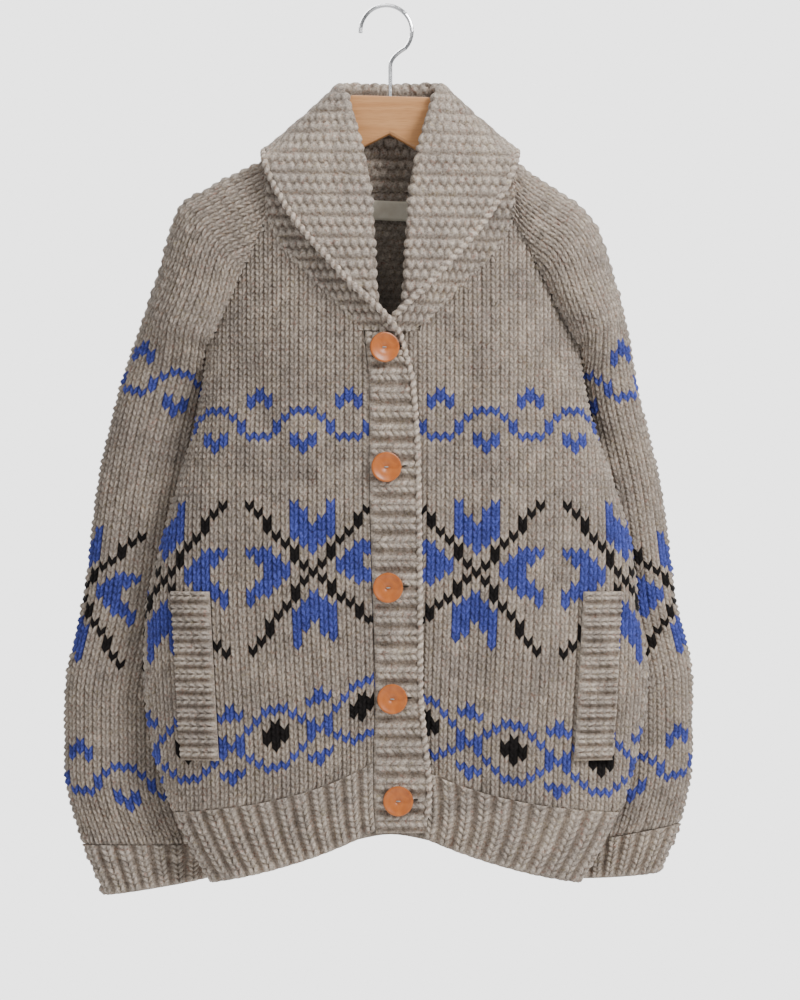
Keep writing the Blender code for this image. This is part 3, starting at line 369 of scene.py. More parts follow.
# %% Rings of the sleeve
def sleeve_ring(turn, row, side, inside=0.0):
    """A point of a sleeve, by its turn: 0 at the front seam, 0.5 at the outer edge, 1 at the back seam."""
    row = np.asarray(row, float)
    front, back = raglan(row, side, "front"), raglan(row, side, "back")
    inner_x = smooth(np.minimum(row, 0), SLEEVE["row"][:11], SLEEVE["inner_x"][:11])
    inner_x = inner_x + (UNDERARM_X[side] - UNDERARM_X["right"]) * ease(1 + row / 30)
    inner_drop = smooth(np.minimum(row, 0), SLEEVE["row"][:11], SLEEVE["inner_drop"][:11])
    inner_y = smooth(row, SLEEVE["row"], SLEEVE["inner_y"])
    gap_below = UNDERARM_GAP * np.exp(np.minimum(row, 0) / 1.4)
    above = row > 0
    clear = UNDERARM_CLEAR * np.exp(-np.abs(row) / 0.9)
    ends = []
    for x, drop, gap in (front, back):
        gap = np.where(above, gap, gap_below)
        ends.append((np.where(above, x, inner_x) + SEAM / 2 + clear, np.where(above, drop, inner_drop), gap))
    outer_x = smooth(row, SLEEVE_OUTLINE["row"], SLEEVE_OUTLINE[side + "_x"])
    outer_drop = smooth(row, SLEEVE_OUTLINE["row"], SLEEVE_OUTLINE[side + "_drop"])
    outer_y = smooth(row, SLEEVE["row"], SLEEVE["outer_y"])
    bulge = smooth(row, SLEEVE["row"], SLEEVE["bulge"])
    swing = (1 - np.cos(2 * math.pi * turn)) / 2
    share = (1 - np.cos(math.pi * turn)) / 2
    base_x = blend(ends[0][0], ends[1][0], share)
    base_drop = blend(ends[0][1], ends[1][1], share)
    gap = blend(ends[0][2], ends[1][2], share)
    if inside:
        taken = np.minimum(gap - 0.2, inside)
        lead_x, lead_drop = outer_x - base_x, outer_drop - base_drop
        length = np.hypot(lead_x, lead_drop)
        inwards = np.where(above, 0, inside * (0.3 + 0.7 * ease(-row / 2)))
        outer_x, outer_drop = outer_x - lead_x / length * inside, outer_drop - lead_drop / length * inside
        base_x, base_drop = base_x + lead_x / length * inwards, base_drop + lead_drop / length * inwards
        bulge = bulge - (inside - 0.7 * taken)
        gap = gap - taken
    x = base_x + (outer_x - base_x) * swing
    drop = base_drop + (outer_drop - base_drop) * swing
    y = inner_y + (outer_y - inner_y) * swing - gap * np.cos(math.pi * turn)
    y = y - bulge * np.sin(2 * math.pi * turn)
    for k, own_side in enumerate(SLEEVE_FOLDS["side"]):
        if own_side == side:
            above_fold = row - SLEEVE_FOLDS["row"][k]
            middle = SLEEVE_FOLDS["turn"][k]
            off = (turn - middle - SLEEVE_FOLDS["lean"][k] * above_fold) / SLEEVE_FOLDS["half_turn"][k]
            fade = np.exp(-(off**2) - (above_fold / SLEEVE_FOLDS["half_rows"][k]) ** 2) * ease(-row / 4)
            y = y + SLEEVE_FOLDS["lift"][k] * fade * (1 if middle > 0.5 else -1)
    sign = 1 if side == "left" else -1
    return np.stack([sign * x, y, -drop], -1)


print("the right cuff's outer edge:", sleeve_ring(np.array(0.5), -76.0, "right"))

# %% [markdown]
# ## Turning a grid into cloth
#
# A mesh can be made face by face with bmesh, but there are about twenty thousand stitches here, so whole
# grids of points are worked out at once with numpy and handed to the mesh in one call. Points that fall
# beyond a seam are moved back onto it. They then lie on each other, so they are merged, and faces that
# have lost their area are dropped.

# %% Make a mesh from grids
PLACES_PER_MM = 2000  # points that round to the same place are one point
YARN_ANGLE, HARD_ANGLE = 80, 40  # faces that meet at a larger angle, in degrees, keep a sharp edge between them


def clean_faces(points, corners, keys):
    """Merges points that lie on each other and drops the faces that this leaves without area."""
    rounded = np.round(points * PLACES_PER_MM).astype(np.int64)
    _, first, index = np.unique(rounded, axis=0, return_index=True, return_inverse=True)
    index = index.reshape(-1)
    faces, kept_keys = [], []
    for corner, key in zip(corners, keys):
        ring = index[corner]
        same = ring == np.roll(ring, 1, axis=1)
        count = (~same).sum(1)
        for size in range(3, ring.shape[1] + 1):
            chosen = count == size
            if not chosen.any():
                continue
            rows = ring[chosen][~same[chosen]].reshape(-1, size)
            unlike = np.ones(len(rows), bool)
            if size == 4:
                unlike = (rows[:, 0] != rows[:, 2]) & (rows[:, 1] != rows[:, 3])
            faces += rows[unlike].tolist()
            kept_keys.append(key[chosen][unlike])
    return first, faces, np.concatenate(kept_keys)


def new_object(name, points, faces, finish, smooth_angle):
    """An object from points in millimetres, smooth but for edges sharper than the given degrees."""
    mesh = bpy.data.meshes.new(name)
    mesh.from_pydata((np.asarray(points) * MM).tolist(), [], faces)
    mesh.shade_smooth()
    mesh.set_sharp_from_angle(angle=math.radians(smooth_angle))
    mesh.materials.append(finish)
    made = bpy.data.objects.new(name, mesh)
    bpy.context.scene.collection.objects.link(made)
    return made


def dress(made, node):
    """Lets a piece hang on the root, in place of the solid of that name."""
    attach(made, "root")
    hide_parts(node)


def paint(made, face_colours, unshaded_share):
    """Stores a colour for each face, and for each point the share of its colour that the painted shade in the
    gaps leaves.
    """
    # This attribute says how much painted shade each point gets: low values lie deep in the gaps and come out
    # darker.
    attribute = made.data.attributes.new("unshaded_share", "FLOAT", "POINT")
    attribute.data.foreach_set("value", np.asarray(unshaded_share, np.float32))
    layer = made.data.color_attributes.new("yarn", "FLOAT_COLOR", "CORNER")
    counts = np.zeros(len(made.data.polygons), np.int32)
    made.data.polygons.foreach_get("loop_total", counts)
    colours = np.ones((counts.sum(), 4), np.float32)
    colours[:, :3] = np.repeat(face_colours, counts, axis=0)
    layer.data.foreach_set("color", colours.reshape(-1))
    if made.data.validate():
        print(made.name, "had", len(counts) - len(made.data.polygons), "bad faces, now dropped")


print("helpers for meshes are ready")

# %% [markdown]
# ## Kinds of stitch
#
# Stocking stitch shows a V on its right side and a row of bumps on its wrong side. Two-by-two rib has two
# columns of V standing out and two columns of bumps sinking in. Each kind is a small table of one unit: where
# the columns of points lie, how high they stand, how far they are pulled up the cloth, which turns level rows
# into Vs, and how far they fan out. The points lie on the legs of the V, so that the edge of a colour follows
# the yarn.

# %% Tables of stitches
STOCKING = {
    "u": (0.0, 0.24, 0.5, 0.76),
    "rise": (0.05, 1.0, 0.3, 1.0),
    "zig": (0.8, 0.4, 0.0, 0.4),
    "fan": (0.0, -0.07, 0.0, 0.07),
    "along": (0.45, 1.0, 0.86),
    "height": 3.2,
    "sink": 1.4,
}
RIB = {
    "u": (0.0, 0.1, 0.22, 0.34, 0.46, 0.58, 0.68, 0.84),
    "rise": (0.4, 0.95, 1.0, 0.5, 1.0, 0.95, 0.4, 0.0),
    "zig": (0.75, 0.55, 0.3, 0.0, 0.3, 0.55, 0.75, 0.75),
    "fan": (0.0, 0.0, 0.0, 0.0, 0.0, 0.0, 0.0, 0.0),
    "along": (0.5, 1.0, 0.85),
    "height": 4.4,
    "sink": 1.5,
}
STITCH = 8.7  # the width of a stitch
FRONT_STITCHES, BACK_STITCHES, SLEEVE_STITCHES = (1, 33), (-33, 33), (-23, 23)
SWOLLEN = 0.16  # how unevenly the stitches rise, as a share of their height
SHADED = 0.09  # how unevenly they are coloured
THINNER = 0.6  # how much nearer the wrong side lies than in the solid
random = np.random.default_rng(7)
WOOL = np.array((0.43, 0.372, 0.318))
BLUE = np.array((0.075, 0.098, 0.42))
BLACK = np.array((0.012, 0.010, 0.010))
YARNS = {0: WOOL, 1: BLUE, 2: BLACK}
print("points in one stocking stitch:", len(STOCKING["u"]) * len(STOCKING["along"]))

# %% [markdown]
# ## Knit a panel
#
# `knit` lays a grid of stitches over any surface. `place` gives the surface's point at a distance along the
# course and a row, and `limits` gives the two seams between which the course runs. The right side gets the
# relief of its stitch, the wrong side lies one cloth's thickness behind, and a rim closes the edges, so each
# panel is a closed body as real cloth is.

# %% Positions, faces and rims
def surface_normals(place, s, row, low, high, rows):
    """Unit normals of a surface, from its points a short step away on each side."""
    step, rise = 0.9, 0.16
    across = place(np.minimum(s + step, high), row) - place(np.maximum(s - step, low), row)
    up = place(s, np.minimum(row + rise, rows[1])) - place(s, np.maximum(row - rise, rows[0]))
    normal = np.cross(across, up)
    length = np.linalg.norm(normal, axis=-1, keepdims=True)
    return normal / np.maximum(length, 1e-9)


def grid_faces(height, width, start):
    """The four corners of each face of a grid whose points are numbered row by row from start."""
    index = start + np.arange(height * width).reshape(height, width)
    return np.stack([index[:-1, :-1], index[:-1, 1:], index[1:, 1:], index[1:, :-1]], -1).reshape(-1, 4)


def spread(span, shares):
    """Positions at the given shares of every unit of a span, and the span's end."""
    return np.append((np.arange(*span)[:, None] + np.array(shares)).reshape(-1), span[1])


def repeated(values, count):
    """A unit's values over and over, ending with its first."""
    return np.append(np.tile(values, count), values[0])


def rim(fine, fine_step, parts, plain, plain_step, flip):
    """A face across the cloth's edge, from one unit's points on the right side to its three behind."""
    ring = [fine + fine_step * n for n in range(parts + 1)] + [plain + plain_step * n for n in (2, 1, 0)]
    return ring[::-1] if flip else ring


print("positions over two stitches:", spread((0, 2), (0.0, 0.5)))


# %% Knit a panel of any stitch
def knit(name, place, limits, units, rows, kind, pitch=STITCH, thick=KNIT, chart=None, wrong_side=0.0,
         facing=None):
    """A closed panel of knitting between two seams, each stitch in the yarn that chart(unit, row) says."""
    steps, turns = len(kind["u"]), len(kind["along"])
    unit_count, row_count = units[1] - units[0], rows[1] - rows[0]
    column = spread(units, kind["u"])
    tiled = {key: repeated(kind[key], unit_count) for key in ("rise", "zig", "fan")}
    share = np.arange(turns) / turns
    level = spread(rows, share)
    swell = repeated(kind["along"], row_count)
    inner_rows = np.ones(len(level))
    inner_rows[[0, -1]] = 0
    row, unit = np.meshgrid(level, column, indexing="ij")
    lean = repeated(1 - 2 * share, row_count)
    s = (unit + tiled["fan"][None] * -lean[:, None]) * pitch
    low, high = limits(row)
    held = (s <= low) | (s >= high)
    row = np.clip(row + np.where(held, 0, tiled["zig"][None] * inner_rows[:, None]), *rows)
    low, high = limits(row)
    s = np.clip(s, low, high)
    base = place(s, row)
    normal = surface_normals(place, s, row, low, high, rows)
    away = base - base.mean(1, keepdims=True) if facing is None else np.array(facing)
    outward = 1.0 if (normal * away).sum() > 0 else -1.0
    normal = normal * outward
    plump = 1 + SWOLLEN * random.standard_normal((row_count + 1, unit_count + 1))
    own = plump[np.arange(len(level)) // turns][:, np.arange(len(column)) // steps]
    relief = kind["height"] * tiled["rise"][None] * swell[:, None] * own - kind["sink"]
    relief = np.where(held, 0.0, relief)
    outer = base + normal * relief[..., None]

    back_column, back_level = spread(units, (0.0, 0.5)), spread(rows, (0.0, 0.5))
    back_row, back_unit = np.meshgrid(back_level, back_column, indexing="ij")
    back_low, back_high = limits(back_row)
    back_s = np.clip(back_unit * pitch, back_low, back_high)
    back_held = (back_s <= back_low) | (back_s >= back_high)
    back_normal = surface_normals(place, back_s, back_row, back_low, back_high, rows) * outward
    back_i, back_j = np.arange(len(back_level))[:, None], np.arange(len(back_column))
    bumps = wrong_side * (back_i % 2) * (0.4 + 0.6 * ((back_j + back_i // 2) % 2))
    bumps = np.where(back_held, 0, bumps)
    inner = place(back_s, back_row) - back_normal * (thick - THINNER + bumps)[..., None]

    points = np.concatenate([outer.reshape(-1, 3), inner.reshape(-1, 3)])
    wide, back_wide, below = len(column), len(back_column), outer.shape[0] * outer.shape[1]
    front_faces = grid_faces(len(level), wide, 0)
    back_faces = grid_faces(len(back_level), back_wide, below)[:, ::-1]
    rims = [rim(i * wide + k * steps, 1, steps, below + j * back_wide + k * 2, 1, i == 0)
            for k in range(unit_count) for i, j in ((0, 0), (len(level) - 1, len(back_level) - 1))]
    side_rims = [rim(k * turns * wide + i, wide, turns, below + k * 2 * back_wide + j, back_wide, i > 0)
                 for k in range(row_count) for i, j in ((0, 0), (wide - 1, back_wide - 1))]
    stitch = (np.arange(len(level) - 1) // turns)[:, None] * unit_count + np.arange(wide - 1) // steps
    back_stitch = back_i[:-1] // 2 * unit_count + back_j[:-1] // 2
    corners = [front_faces, back_faces, np.array(rims), np.array(side_rims)]
    keys = [stitch.reshape(-1), back_stitch.reshape(-1)]
    keys += [np.zeros(len(rims), int), np.zeros(len(side_rims), int)]
    if outward < 0:
        corners = [c[:, ::-1] for c in corners]
    first, faces, key = clean_faces(points, corners, keys)
    # Painted shade: points deep between stitches, and on the wrong side between its bumps, keep a low share and
    # come out darker.
    unshaded_share = np.clip((tiled["rise"][None] * swell[:, None] - 0.1) / 0.8, 0, 1)
    unshaded_share = np.where(held, 0.5, unshaded_share)
    unshaded_share[[0, -1]] = np.maximum(unshaded_share[[0, -1]], 0.5)
    behind = np.where(bumps > 0.7 * wrong_side, 0.9, 0.35) if wrong_side else np.full(inner.shape[:2], 0.6)
    unshaded_share = np.concatenate([unshaded_share.reshape(-1), behind.reshape(-1)])[first]
    points = points[first]
    yarns = [YARNS[chart(unit, row) if chart else 0] for row in range(*rows) for unit in range(*units)]
    colours = np.array(yarns) * (1 + SHADED * random.standard_normal((len(yarns), 1)))
    points[:, 0] += GARMENT_SHIFT
    made = new_object(name, points, faces, heather_wool, YARN_ANGLE)
    paint(made, np.clip(colours[key], 0.004, 1).astype(np.float32), unshaded_share)
    print(f"{name}: {unit_count} by {row_count} units, {len(faces)} faces")
    return made


print("knit takes stitches", STITCH, "mm wide")

# %% [markdown]
# ## Shader maths in plain Python
#
# A material is a graph of nodes, and a graph is hard to read as code. The small class below wraps one
# socket, so that `fleck * 0.3 + 1` adds the Math nodes itself. Any other node comes from one method, which
# takes its type, its settings and what its sockets are given.

# %% Socket maths and materials
class Wire:
    """One output socket of a material, with arithmetic."""

    def __init__(self, maker, socket):
        self.maker = maker
        self.socket = socket

    def math(self, operation, other, swap=False):
        first, second = (other, self) if swap else (self, other)
        return self.maker.node("ShaderNodeMath", {"operation": operation}, {0: first, 1: second})

    def __add__(self, other):
        return self.math("ADD", other)

    __radd__ = __add__

    def __mul__(self, other):
        return self.math("MULTIPLY", other)

    __rmul__ = __mul__

    def __sub__(self, other):
        return self.math("SUBTRACT", other)

    def __rsub__(self, other):
        return self.math("SUBTRACT", other, swap=True)


class Finish:
    """A material under construction, ending in one Principled BSDF."""

    def __init__(self, name, **constants):
        self.material = bpy.data.materials.new(name)
        self.material.use_nodes = True
        self.nodes = self.material.node_tree.nodes
        self.shader = self.nodes["Principled BSDF"]
        for socket, value in constants.items():
            self.shader.inputs[socket.replace("_", " ")].default_value = value

    def give(self, socket, value):
        """Links a socket to a wire, or sets it to a constant."""
        if isinstance(value, Wire):
            self.material.node_tree.links.new(value.socket, socket)
        else:
            socket.default_value = value

    def node(self, kind, settings=None, sockets=None, output=0):
        """Any node, with its settings, what its sockets are given, and the output that is wanted."""
        made = self.nodes.new(kind)
        for key, value in (settings or {}).items():
            if key == "stops":
                ramp = made.color_ramp
                for place, (position, colour) in enumerate(value):
                    stop = ramp.elements[place] if place < 2 else ramp.elements.new(position)
                    stop.position = position
                    stop.color = colour
            else:
                setattr(made, key, value)
        for key, value in (sockets or {}).items():
            self.give(made.inputs[key], value)
        return Wire(self, made.outputs[output])

    def where(self):
        """The object's own coordinates."""
        return self.node("ShaderNodeTexCoord", None, None, "Object")

    def noise(self, where, scale, detail=2.0, **more):
        sockets = {"Vector": where, "Scale": scale, "Detail": detail, **more}
        return self.node("ShaderNodeTexNoise", None, sockets)

    def ramp(self, value, *stops):
        """A colour by value: each stop is a position and a colour of three parts."""
        stops = [(at, (*colour, 1)) for at, colour in stops]
        return self.node("ShaderNodeValToRGB", {"stops": stops}, {0: value})

    def mix(self, factor, first, second, blend_type="MIX"):
        made = self.nodes.new("ShaderNodeMix")
        made.data_type = "RGBA"
        made.blend_type = blend_type
        self.give(made.inputs[0], factor)
        self.give(made.inputs[6], first)
        self.give(made.inputs[7], second)
        return Wire(self, made.outputs[2])

    def feed(self, socket, value):
        self.give(self.shader.inputs[socket], value)

    def bump(self, height, distance, strength=1.0, under=None):
        sockets = {"Height": height, "Distance": distance, "Strength": strength}
        if under is not None:
            sockets["Normal"] = under
        return self.node("ShaderNodeBump", None, sockets)


print("operators of a wire:", [name for name in vars(Wire) if name.startswith("__r")])

# %% [markdown]
# ## Wool
#
# Heathered wool is not one colour: light, dark and rust fibres are carded together, so the yarn shows flecks
# a millimetre or two long. The colour of each stitch comes from the mesh, and noise at several scales adds
# the flecks and the fuzz. Shade is painted into the gaps between stitches: the colour darkens by how deep
# each point lies. Sheen gives the pale bloom that wool has where it turns away.

# %% Wool finishes
def wool_finish(name, fleck_share):
    """Yarn in the mesh's own colours, rust-coloured by this share where it has a fleck."""
    wool = Finish(name, Roughness=0.95, Sheen_Weight=0.10, Sheen_Roughness=0.5, Specular_IOR_Level=0.12)
    where = wool.where()
    yarn = wool.node("ShaderNodeVertexColor", {"layer_name": "yarn"})
    fibre = wool.noise(where, 520.0, 3.0, Roughness=0.65)
    patch = wool.noise(where, 26.0)
    fleck = wool.noise(where, 340.0, 1.0)
    tint = wool.noise(where, 95.0, 1.0)
    light = wool.ramp(fibre, (0.3, (0.55, 0.55, 0.55)), (0.7, (1.5, 1.5, 1.5)))
    broad = wool.ramp(patch, (0.3, (0.86, 0.86, 0.87)), (0.7, (1.12, 1.11, 1.08)))
    rust = wool.ramp(tint, (0.35, (0.86, 0.62, 0.58)), (0.65, (0.8, 0.78, 0.62)))
    spot = wool.node("ShaderNodeMapRange", None, {"Value": fleck, "From Min": 0.56, "From Max": 0.68})
    colour = wool.mix(1.0, yarn, light, "MULTIPLY")
    colour = wool.mix(1.0, colour, broad, "MULTIPLY")
    tinted = wool.mix(1.0, colour, rust, "MULTIPLY")
    colour = wool.mix(spot * fleck_share, colour, tinted)
    # Painted shade: the colour is pulled towards a darker copy where a point lies deep in a gap between
    # stitches.
    unshaded_share = wool.node("ShaderNodeAttribute", {"attribute_name": "unshaded_share"}, None, "Fac")
    painted_gap_shade = wool.mix(1.0, colour, (0.30, 0.26, 0.23, 1), "MULTIPLY")
    wool.feed("Base Color", wool.mix(unshaded_share * 0.85 + 0.15, painted_gap_shade, colour))
    ply = wool.noise(where, 900.0)
    wool.feed("Normal", wool.bump(fibre + ply * 0.6, 0.00028, 0.8))
    return wool.material


heather_wool = wool_finish("heather wool", 0.75)
print("made", heather_wool.name)

# %% [markdown]
# ## Charts
#
# Stranded patterns are drawn on squared paper, one square to a stitch. These charts are drawn in the same
# way: a # is a blue stitch, an o a black one, a dot the ground. The wave and the chain of eyes repeat
# every ten stitches; the crosses with their four petals repeat every seventeen.

# %% Charts of the motifs
WAVE_CHART = (
    "#.........",
    "##.......#",
    ".#.......#",
    "....###...",
    "...#...#..",
    "..#.....#.",
    "..#.....#.",
    "##..#.#..#",
    "....###...",
    ".....#....",
)
EYE_CHART = (
    ".....#....",
    "##..###..#",
    "..#.....#.",
    "o..#...#..",
    "oo..#.#..o",
    "oo..###..o",
    "o...#.#...",
    "...#...#..",
    "..#.....#.",
    "##..###..#",
    ".....#....",
)
CROSS_CHART = (
    ".o....#...#....o.",
    "..o...#..##...o..",
    "...o..##.##..o...",
    "...o..#####..o...",
    "....o.#####.o....",
    ".....o.###.o.....",
    ".###..o.#.o..###.",
    "..###.o...o.###..",
    "...###.o.o.###...",
    "...###..o..###...",
    "..###..o.o..###..",
    ".###..o...o..###.",
    ".#....o.#.o....#.",
    ".....o.###.o.....",
    "....o.#####.o....",
    "...o..#####..o...",
    "...o..##.##..o...",
    "..o...##..#...o..",
    ".o....#...#....o.",
)
CODES = {".": 0, "#": 1, "o": 2}


def motif(chart, column, row, top_row, first_column):
    """The yarn of a stitch in a repeating chart whose top row and whose column 0 are given."""
    line = top_row - row
    if not 0 <= line < len(chart):
        return 0
    return CODES[chart[line][(column - first_column) % len(chart[0])]]


def body_chart(wave_at, cross_at, eye_at, eye_row=-51):
    """The chart of a front or the back, by the first columns of its three bands."""

    def chart(column, row):
        return (
            motif(WAVE_CHART, column, row, -9, wave_at)
            or motif(CROSS_CHART, column, row, -26, cross_at - 8)
            or motif(EYE_CHART, column, row, eye_row, eye_at)
        )
    return chart


def sleeve_chart(column, row):
    """The chart of a sleeve, with the top row and the first column of its three bands."""
    return (
        motif(WAVE_CHART, column, row, -4, -3)
        or motif(CROSS_CHART, column, row, -32, -8)
        or motif(WAVE_CHART, column, row, -62, -3)
    )


print("stitches in one cross:", sum(line.count("o") for line in CROSS_CHART))

# %% [markdown]
# ## Fronts and back
#
# A course is as long as its arc, not its width, so distances along it are measured on the curve and looked
# up again. The lookup is a table of arc lengths for each row. The fronts run from their band or neckline to
# the side seam, and the pocket's slit is covered by its welt.

# %% Distances along a course
def arc_table(point_at, rows, low, high, count=160):
    """For each row, the distances along the course of evenly spaced parameters between low and high."""
    share = np.linspace(0, 1, count)
    levels = np.arange(rows[0], rows[1] + 1)
    tables = []
    for level in levels:
        value = low(level) + (high(level) - low(level)) * share
        path = point_at(value, np.full(count, float(level)))
        tables.append((value, lengths(path)))
    return levels, tables


def look_up(levels, tables, s, row, zero):
    """The parameter at a distance along a course, between two rows of the table."""
    below = np.clip(np.floor(row - levels[0]).astype(int), 0, len(levels) - 2)
    part = row - levels[0] - below
    found = []
    for offset in (0, 1):
        answer = np.zeros_like(s)
        for k in np.unique(below):
            value, length = tables[k + offset]
            here = below == k
            start = np.interp(zero, value, length)
            answer[here] = np.interp(s[here] + start, length, value)
        found.append(answer)
    return found[0] * (1 - part) + found[1] * part


JUST_ABOVE = 0.02  # the row at which the raglan seam takes over from the side seam
SAMPLES = 300  # points with which a course is measured


def body_panel(side, face):
    """place and limits of a front, or of one half of the back, by distance along its courses."""
    rows = (BODY_FOOT, YOKE_TOP)

    def point_at(angle, row):
        return body_point(angle, row, side, face)

    levels, tables = arc_table(point_at, rows, lambda level: 0.0, lambda level: math.pi / 2)
    fine = np.sort(np.append(np.arange(rows[0], rows[1] + 0.1, 0.25), JUST_ABOVE))
    ends = []
    for level in fine:
        half, depth = body_ring(level, side, face)[:2]
        if level > 0:
            last = math.acos(min(raglan(level, side, face)[2] / depth, 1)) - SEAM / 2 / half
        else:
            last = math.pi / 2 - SEAM / 2 / depth
        first = angle_at(front_edge_x(level, side) + SEAM / 2, level, side, face) if face == "front" else 0.0
        value = np.linspace(0, math.pi / 2, SAMPLES)
        path = point_at(value, np.full(SAMPLES, level))
        ends.append(np.interp([first, last], value, lengths(path)))
    ends = np.array(ends)

    def place(s, row):
        return point_at(look_up(levels, tables, s, row, 0.0), row)

    def limits(row):
        return np.interp(row, fine, ends[:, 0]), np.interp(row, fine, ends[:, 1])

    return place, limits


print("a front's course ends at", body_panel("right", "front")[1](0.0))

# %% Knit the fronts
FORWARD, BACKWARD = (0, -1, 0), (0, 1, 0)
for side, starts in (("right", (4, 8, 3)), ("left", (5, 9, 4, -53))):
    place, limits = body_panel(side, "front")
    made = knit(f"front_{side}_knit", place, limits, FRONT_STITCHES, (BODY_FOOT, YOKE_TOP), STOCKING,
                chart=body_chart(*starts), facing=FORWARD)
    dress(made, f"front_{side}")

# %% Knit the back
back_places = {side: body_panel(side, "back") for side in ("right", "left")}


def back_place(s, row):
    """The back is its right half where s is negative, and its left half where it isn't."""
    right, left = back_places["right"][0](np.abs(s), row), back_places["left"][0](np.abs(s), row)
    return np.where((s < 0)[..., None], right, left)


def back_limits(row):
    return -back_places["right"][1](row)[1], back_places["left"][1](row)[1]


back_knit = knit("back_knit", back_place, back_limits, BACK_STITCHES, (BODY_FOOT, YOKE_TOP), STOCKING,
                 chart=body_chart(0, 0, 0), wrong_side=1.4, facing=BACKWARD)
dress(back_knit, "back")

# %% [markdown]
# ## Sleeves
#
# The columns of a sleeve are counted from its outer edge, where the cross motif sits in the photograph. The
# sleeve grows wider from the cuff, and the new stitches come in along the seam under the arm.

# %% Knit the sleeves
STRIP = 0.1  # how many turns the strip goes beyond each edge
CLOSE = 0.05  # half the gap left where a tube's two edges are sewn together, in mm


def sleeve_panel(side):
    """place and limits of a sleeve. Below the underarm a narrow strip beyond turn 0 and 1 closes the tube."""
    rows = (SLEEVE_FOOT, YOKE_TOP)
    sign = 1 if side == "left" else -1

    def point_at(turn, row):
        base = sleeve_ring(np.clip(turn, 0, 1), row, side)
        beyond = np.clip(np.maximum(-turn, turn - 1) / STRIP, 0, 1)
        front_end = sleeve_ring(np.zeros_like(turn), row, side)
        middle = (front_end + sleeve_ring(np.ones_like(turn), row, side)) / 2
        middle[..., 0] += sign * UNDERARM_STRIP * np.exp(np.minimum(row, 0) / 1.4)
        return blend(base, middle, beyond[..., None])

    levels, tables = arc_table(point_at, rows, lambda level: -STRIP, lambda level: 1 + STRIP, 240)
    heights, ends = [], []
    for level, (value, length) in zip(levels, tables):
        middle = np.interp(0.5, value, length)
        open_to, closed_to = np.interp([0, 1], value, length) - middle, length[[0, -1]] - middle
        heights += [level, level + 0.05] if level == 0 else [level]
        ends += [closed_to, open_to] if level == 0 else [open_to if level > 0 else closed_to]
    ends = np.array(ends)

    def place(s, row):
        return point_at(look_up(levels, tables, s, row, 0.5), row)

    def limits(row):
        return np.interp(row, heights, ends[:, 0]) + CLOSE, np.interp(row, heights, ends[:, 1]) - CLOSE

    return place, limits


for side in ("right", "left"):
    place, limits = sleeve_panel(side)
    made = knit(f"sleeve_{side}_knit", place, limits, SLEEVE_STITCHES, (SLEEVE_FOOT, YOKE_TOP), STOCKING,
                chart=sleeve_chart)
    dress(made, f"sleeve_{side}")

# %% [markdown]
# ## Ribs
#
# The hem and cuffs are two-by-two rib, knitted on downwards, so their columns carry on from the cloth above.
# The bands and pocket welts are the same rib turned sideways: their columns run across, and a distance along
# the course is a distance down the garment.

# %% Knit the hem
HEM_ROWS = 11


def path_lookup(point_at, row):
    """Shares of a course and the length up to each of them."""
    value = np.linspace(0.0, 1.0, SAMPLES)
    return value, lengths(point_at(value, np.full(SAMPLES, float(row))))


def between(low, high):
    """limits of a panel whose courses all start and end at the same distances."""
    return lambda row: (np.full_like(row, low), np.full_like(row, high))


def hem_side(side, face):
    """Points of a hem from the band or the middle of the back to the side seam, with their lengths."""

    def point_at(share, row):
        hem = 1 - row / HEM_ROWS
        start = 0.0
        if face == "front":
            start = angle_at(front_edge_x(BODY_FOOT, side, hem) + SEAM / 2, BODY_FOOT, side, "front", hem)
        last = math.pi / 2 - SEAM / 2 / body_ring(BODY_FOOT, side, face, hem)[1]
        return body_point(start + (last - start) * share, BODY_FOOT, side, face, hem)

    return point_at, *path_lookup(point_at, HEM_ROWS / 2)


for side in ("right", "left"):
    point_at, value, length = hem_side(side, "front")
    count = int(round(length[-1] / RIB_PITCH))
    pitch = length[-1] / count

    def place(s, row, point_at=point_at, value=value, length=length):
        return point_at(np.interp(s, length, value), row)

    made = knit(f"hem_front_{side}_rib", place, between(0, length[-1]), (0, count), (0, HEM_ROWS), RIB,
                pitch=pitch, facing=FORWARD)
    dress(made, f"hem_front_{side}")

hems = {side: hem_side(side, "back") for side in ("right", "left")}
back_hem_ends = {side: hems[side][2][-1] for side in hems}


def back_hem_place(s, row):
    found = {}
    for side, (point_at, value, length) in hems.items():
        found[side] = point_at(np.interp(np.abs(s), length, value), row)
    return np.where((s < 0)[..., None], found["right"], found["left"])


count = int(round(sum(back_hem_ends.values()) / RIB_PITCH))
pitch = sum(back_hem_ends.values()) / count
first = -int(round(back_hem_ends["right"] / pitch))
hem_back_rib = knit("hem_back_rib", back_hem_place, between(-back_hem_ends["right"], back_hem_ends["left"]),
                    (first - 1, first + count + 1), (0, HEM_ROWS), RIB, pitch=pitch, wrong_side=1.0,
                    facing=BACKWARD)
dress(hem_back_rib, "hem_back")

# %% Knit the cuffs
CUFF_RIBS = 16
CUFF_ROWS = 8
CUFF_GAP = 0.12  # in rows, between the cuff and the sleeve
for side in ("right", "left"):
    def ring(share, row, side=side):
        level = CUFF_FOOT + (SLEEVE_FOOT - CUFF_GAP - CUFF_FOOT) * row / CUFF_ROWS
        return sleeve_ring(share, level, side)

    value, length = path_lookup(ring, CUFF_ROWS / 2)

    def place(s, row, ring=ring, value=value, length=length):
        return ring(np.interp(s, length, value), row)

    made = knit(f"cuff_{side}_rib", place, between(CLOSE, length[-1] - CLOSE), (0, CUFF_RIBS),
                (0, CUFF_ROWS), RIB, pitch=length[-1] / CUFF_RIBS)
    dress(made, f"cuff_{side}")

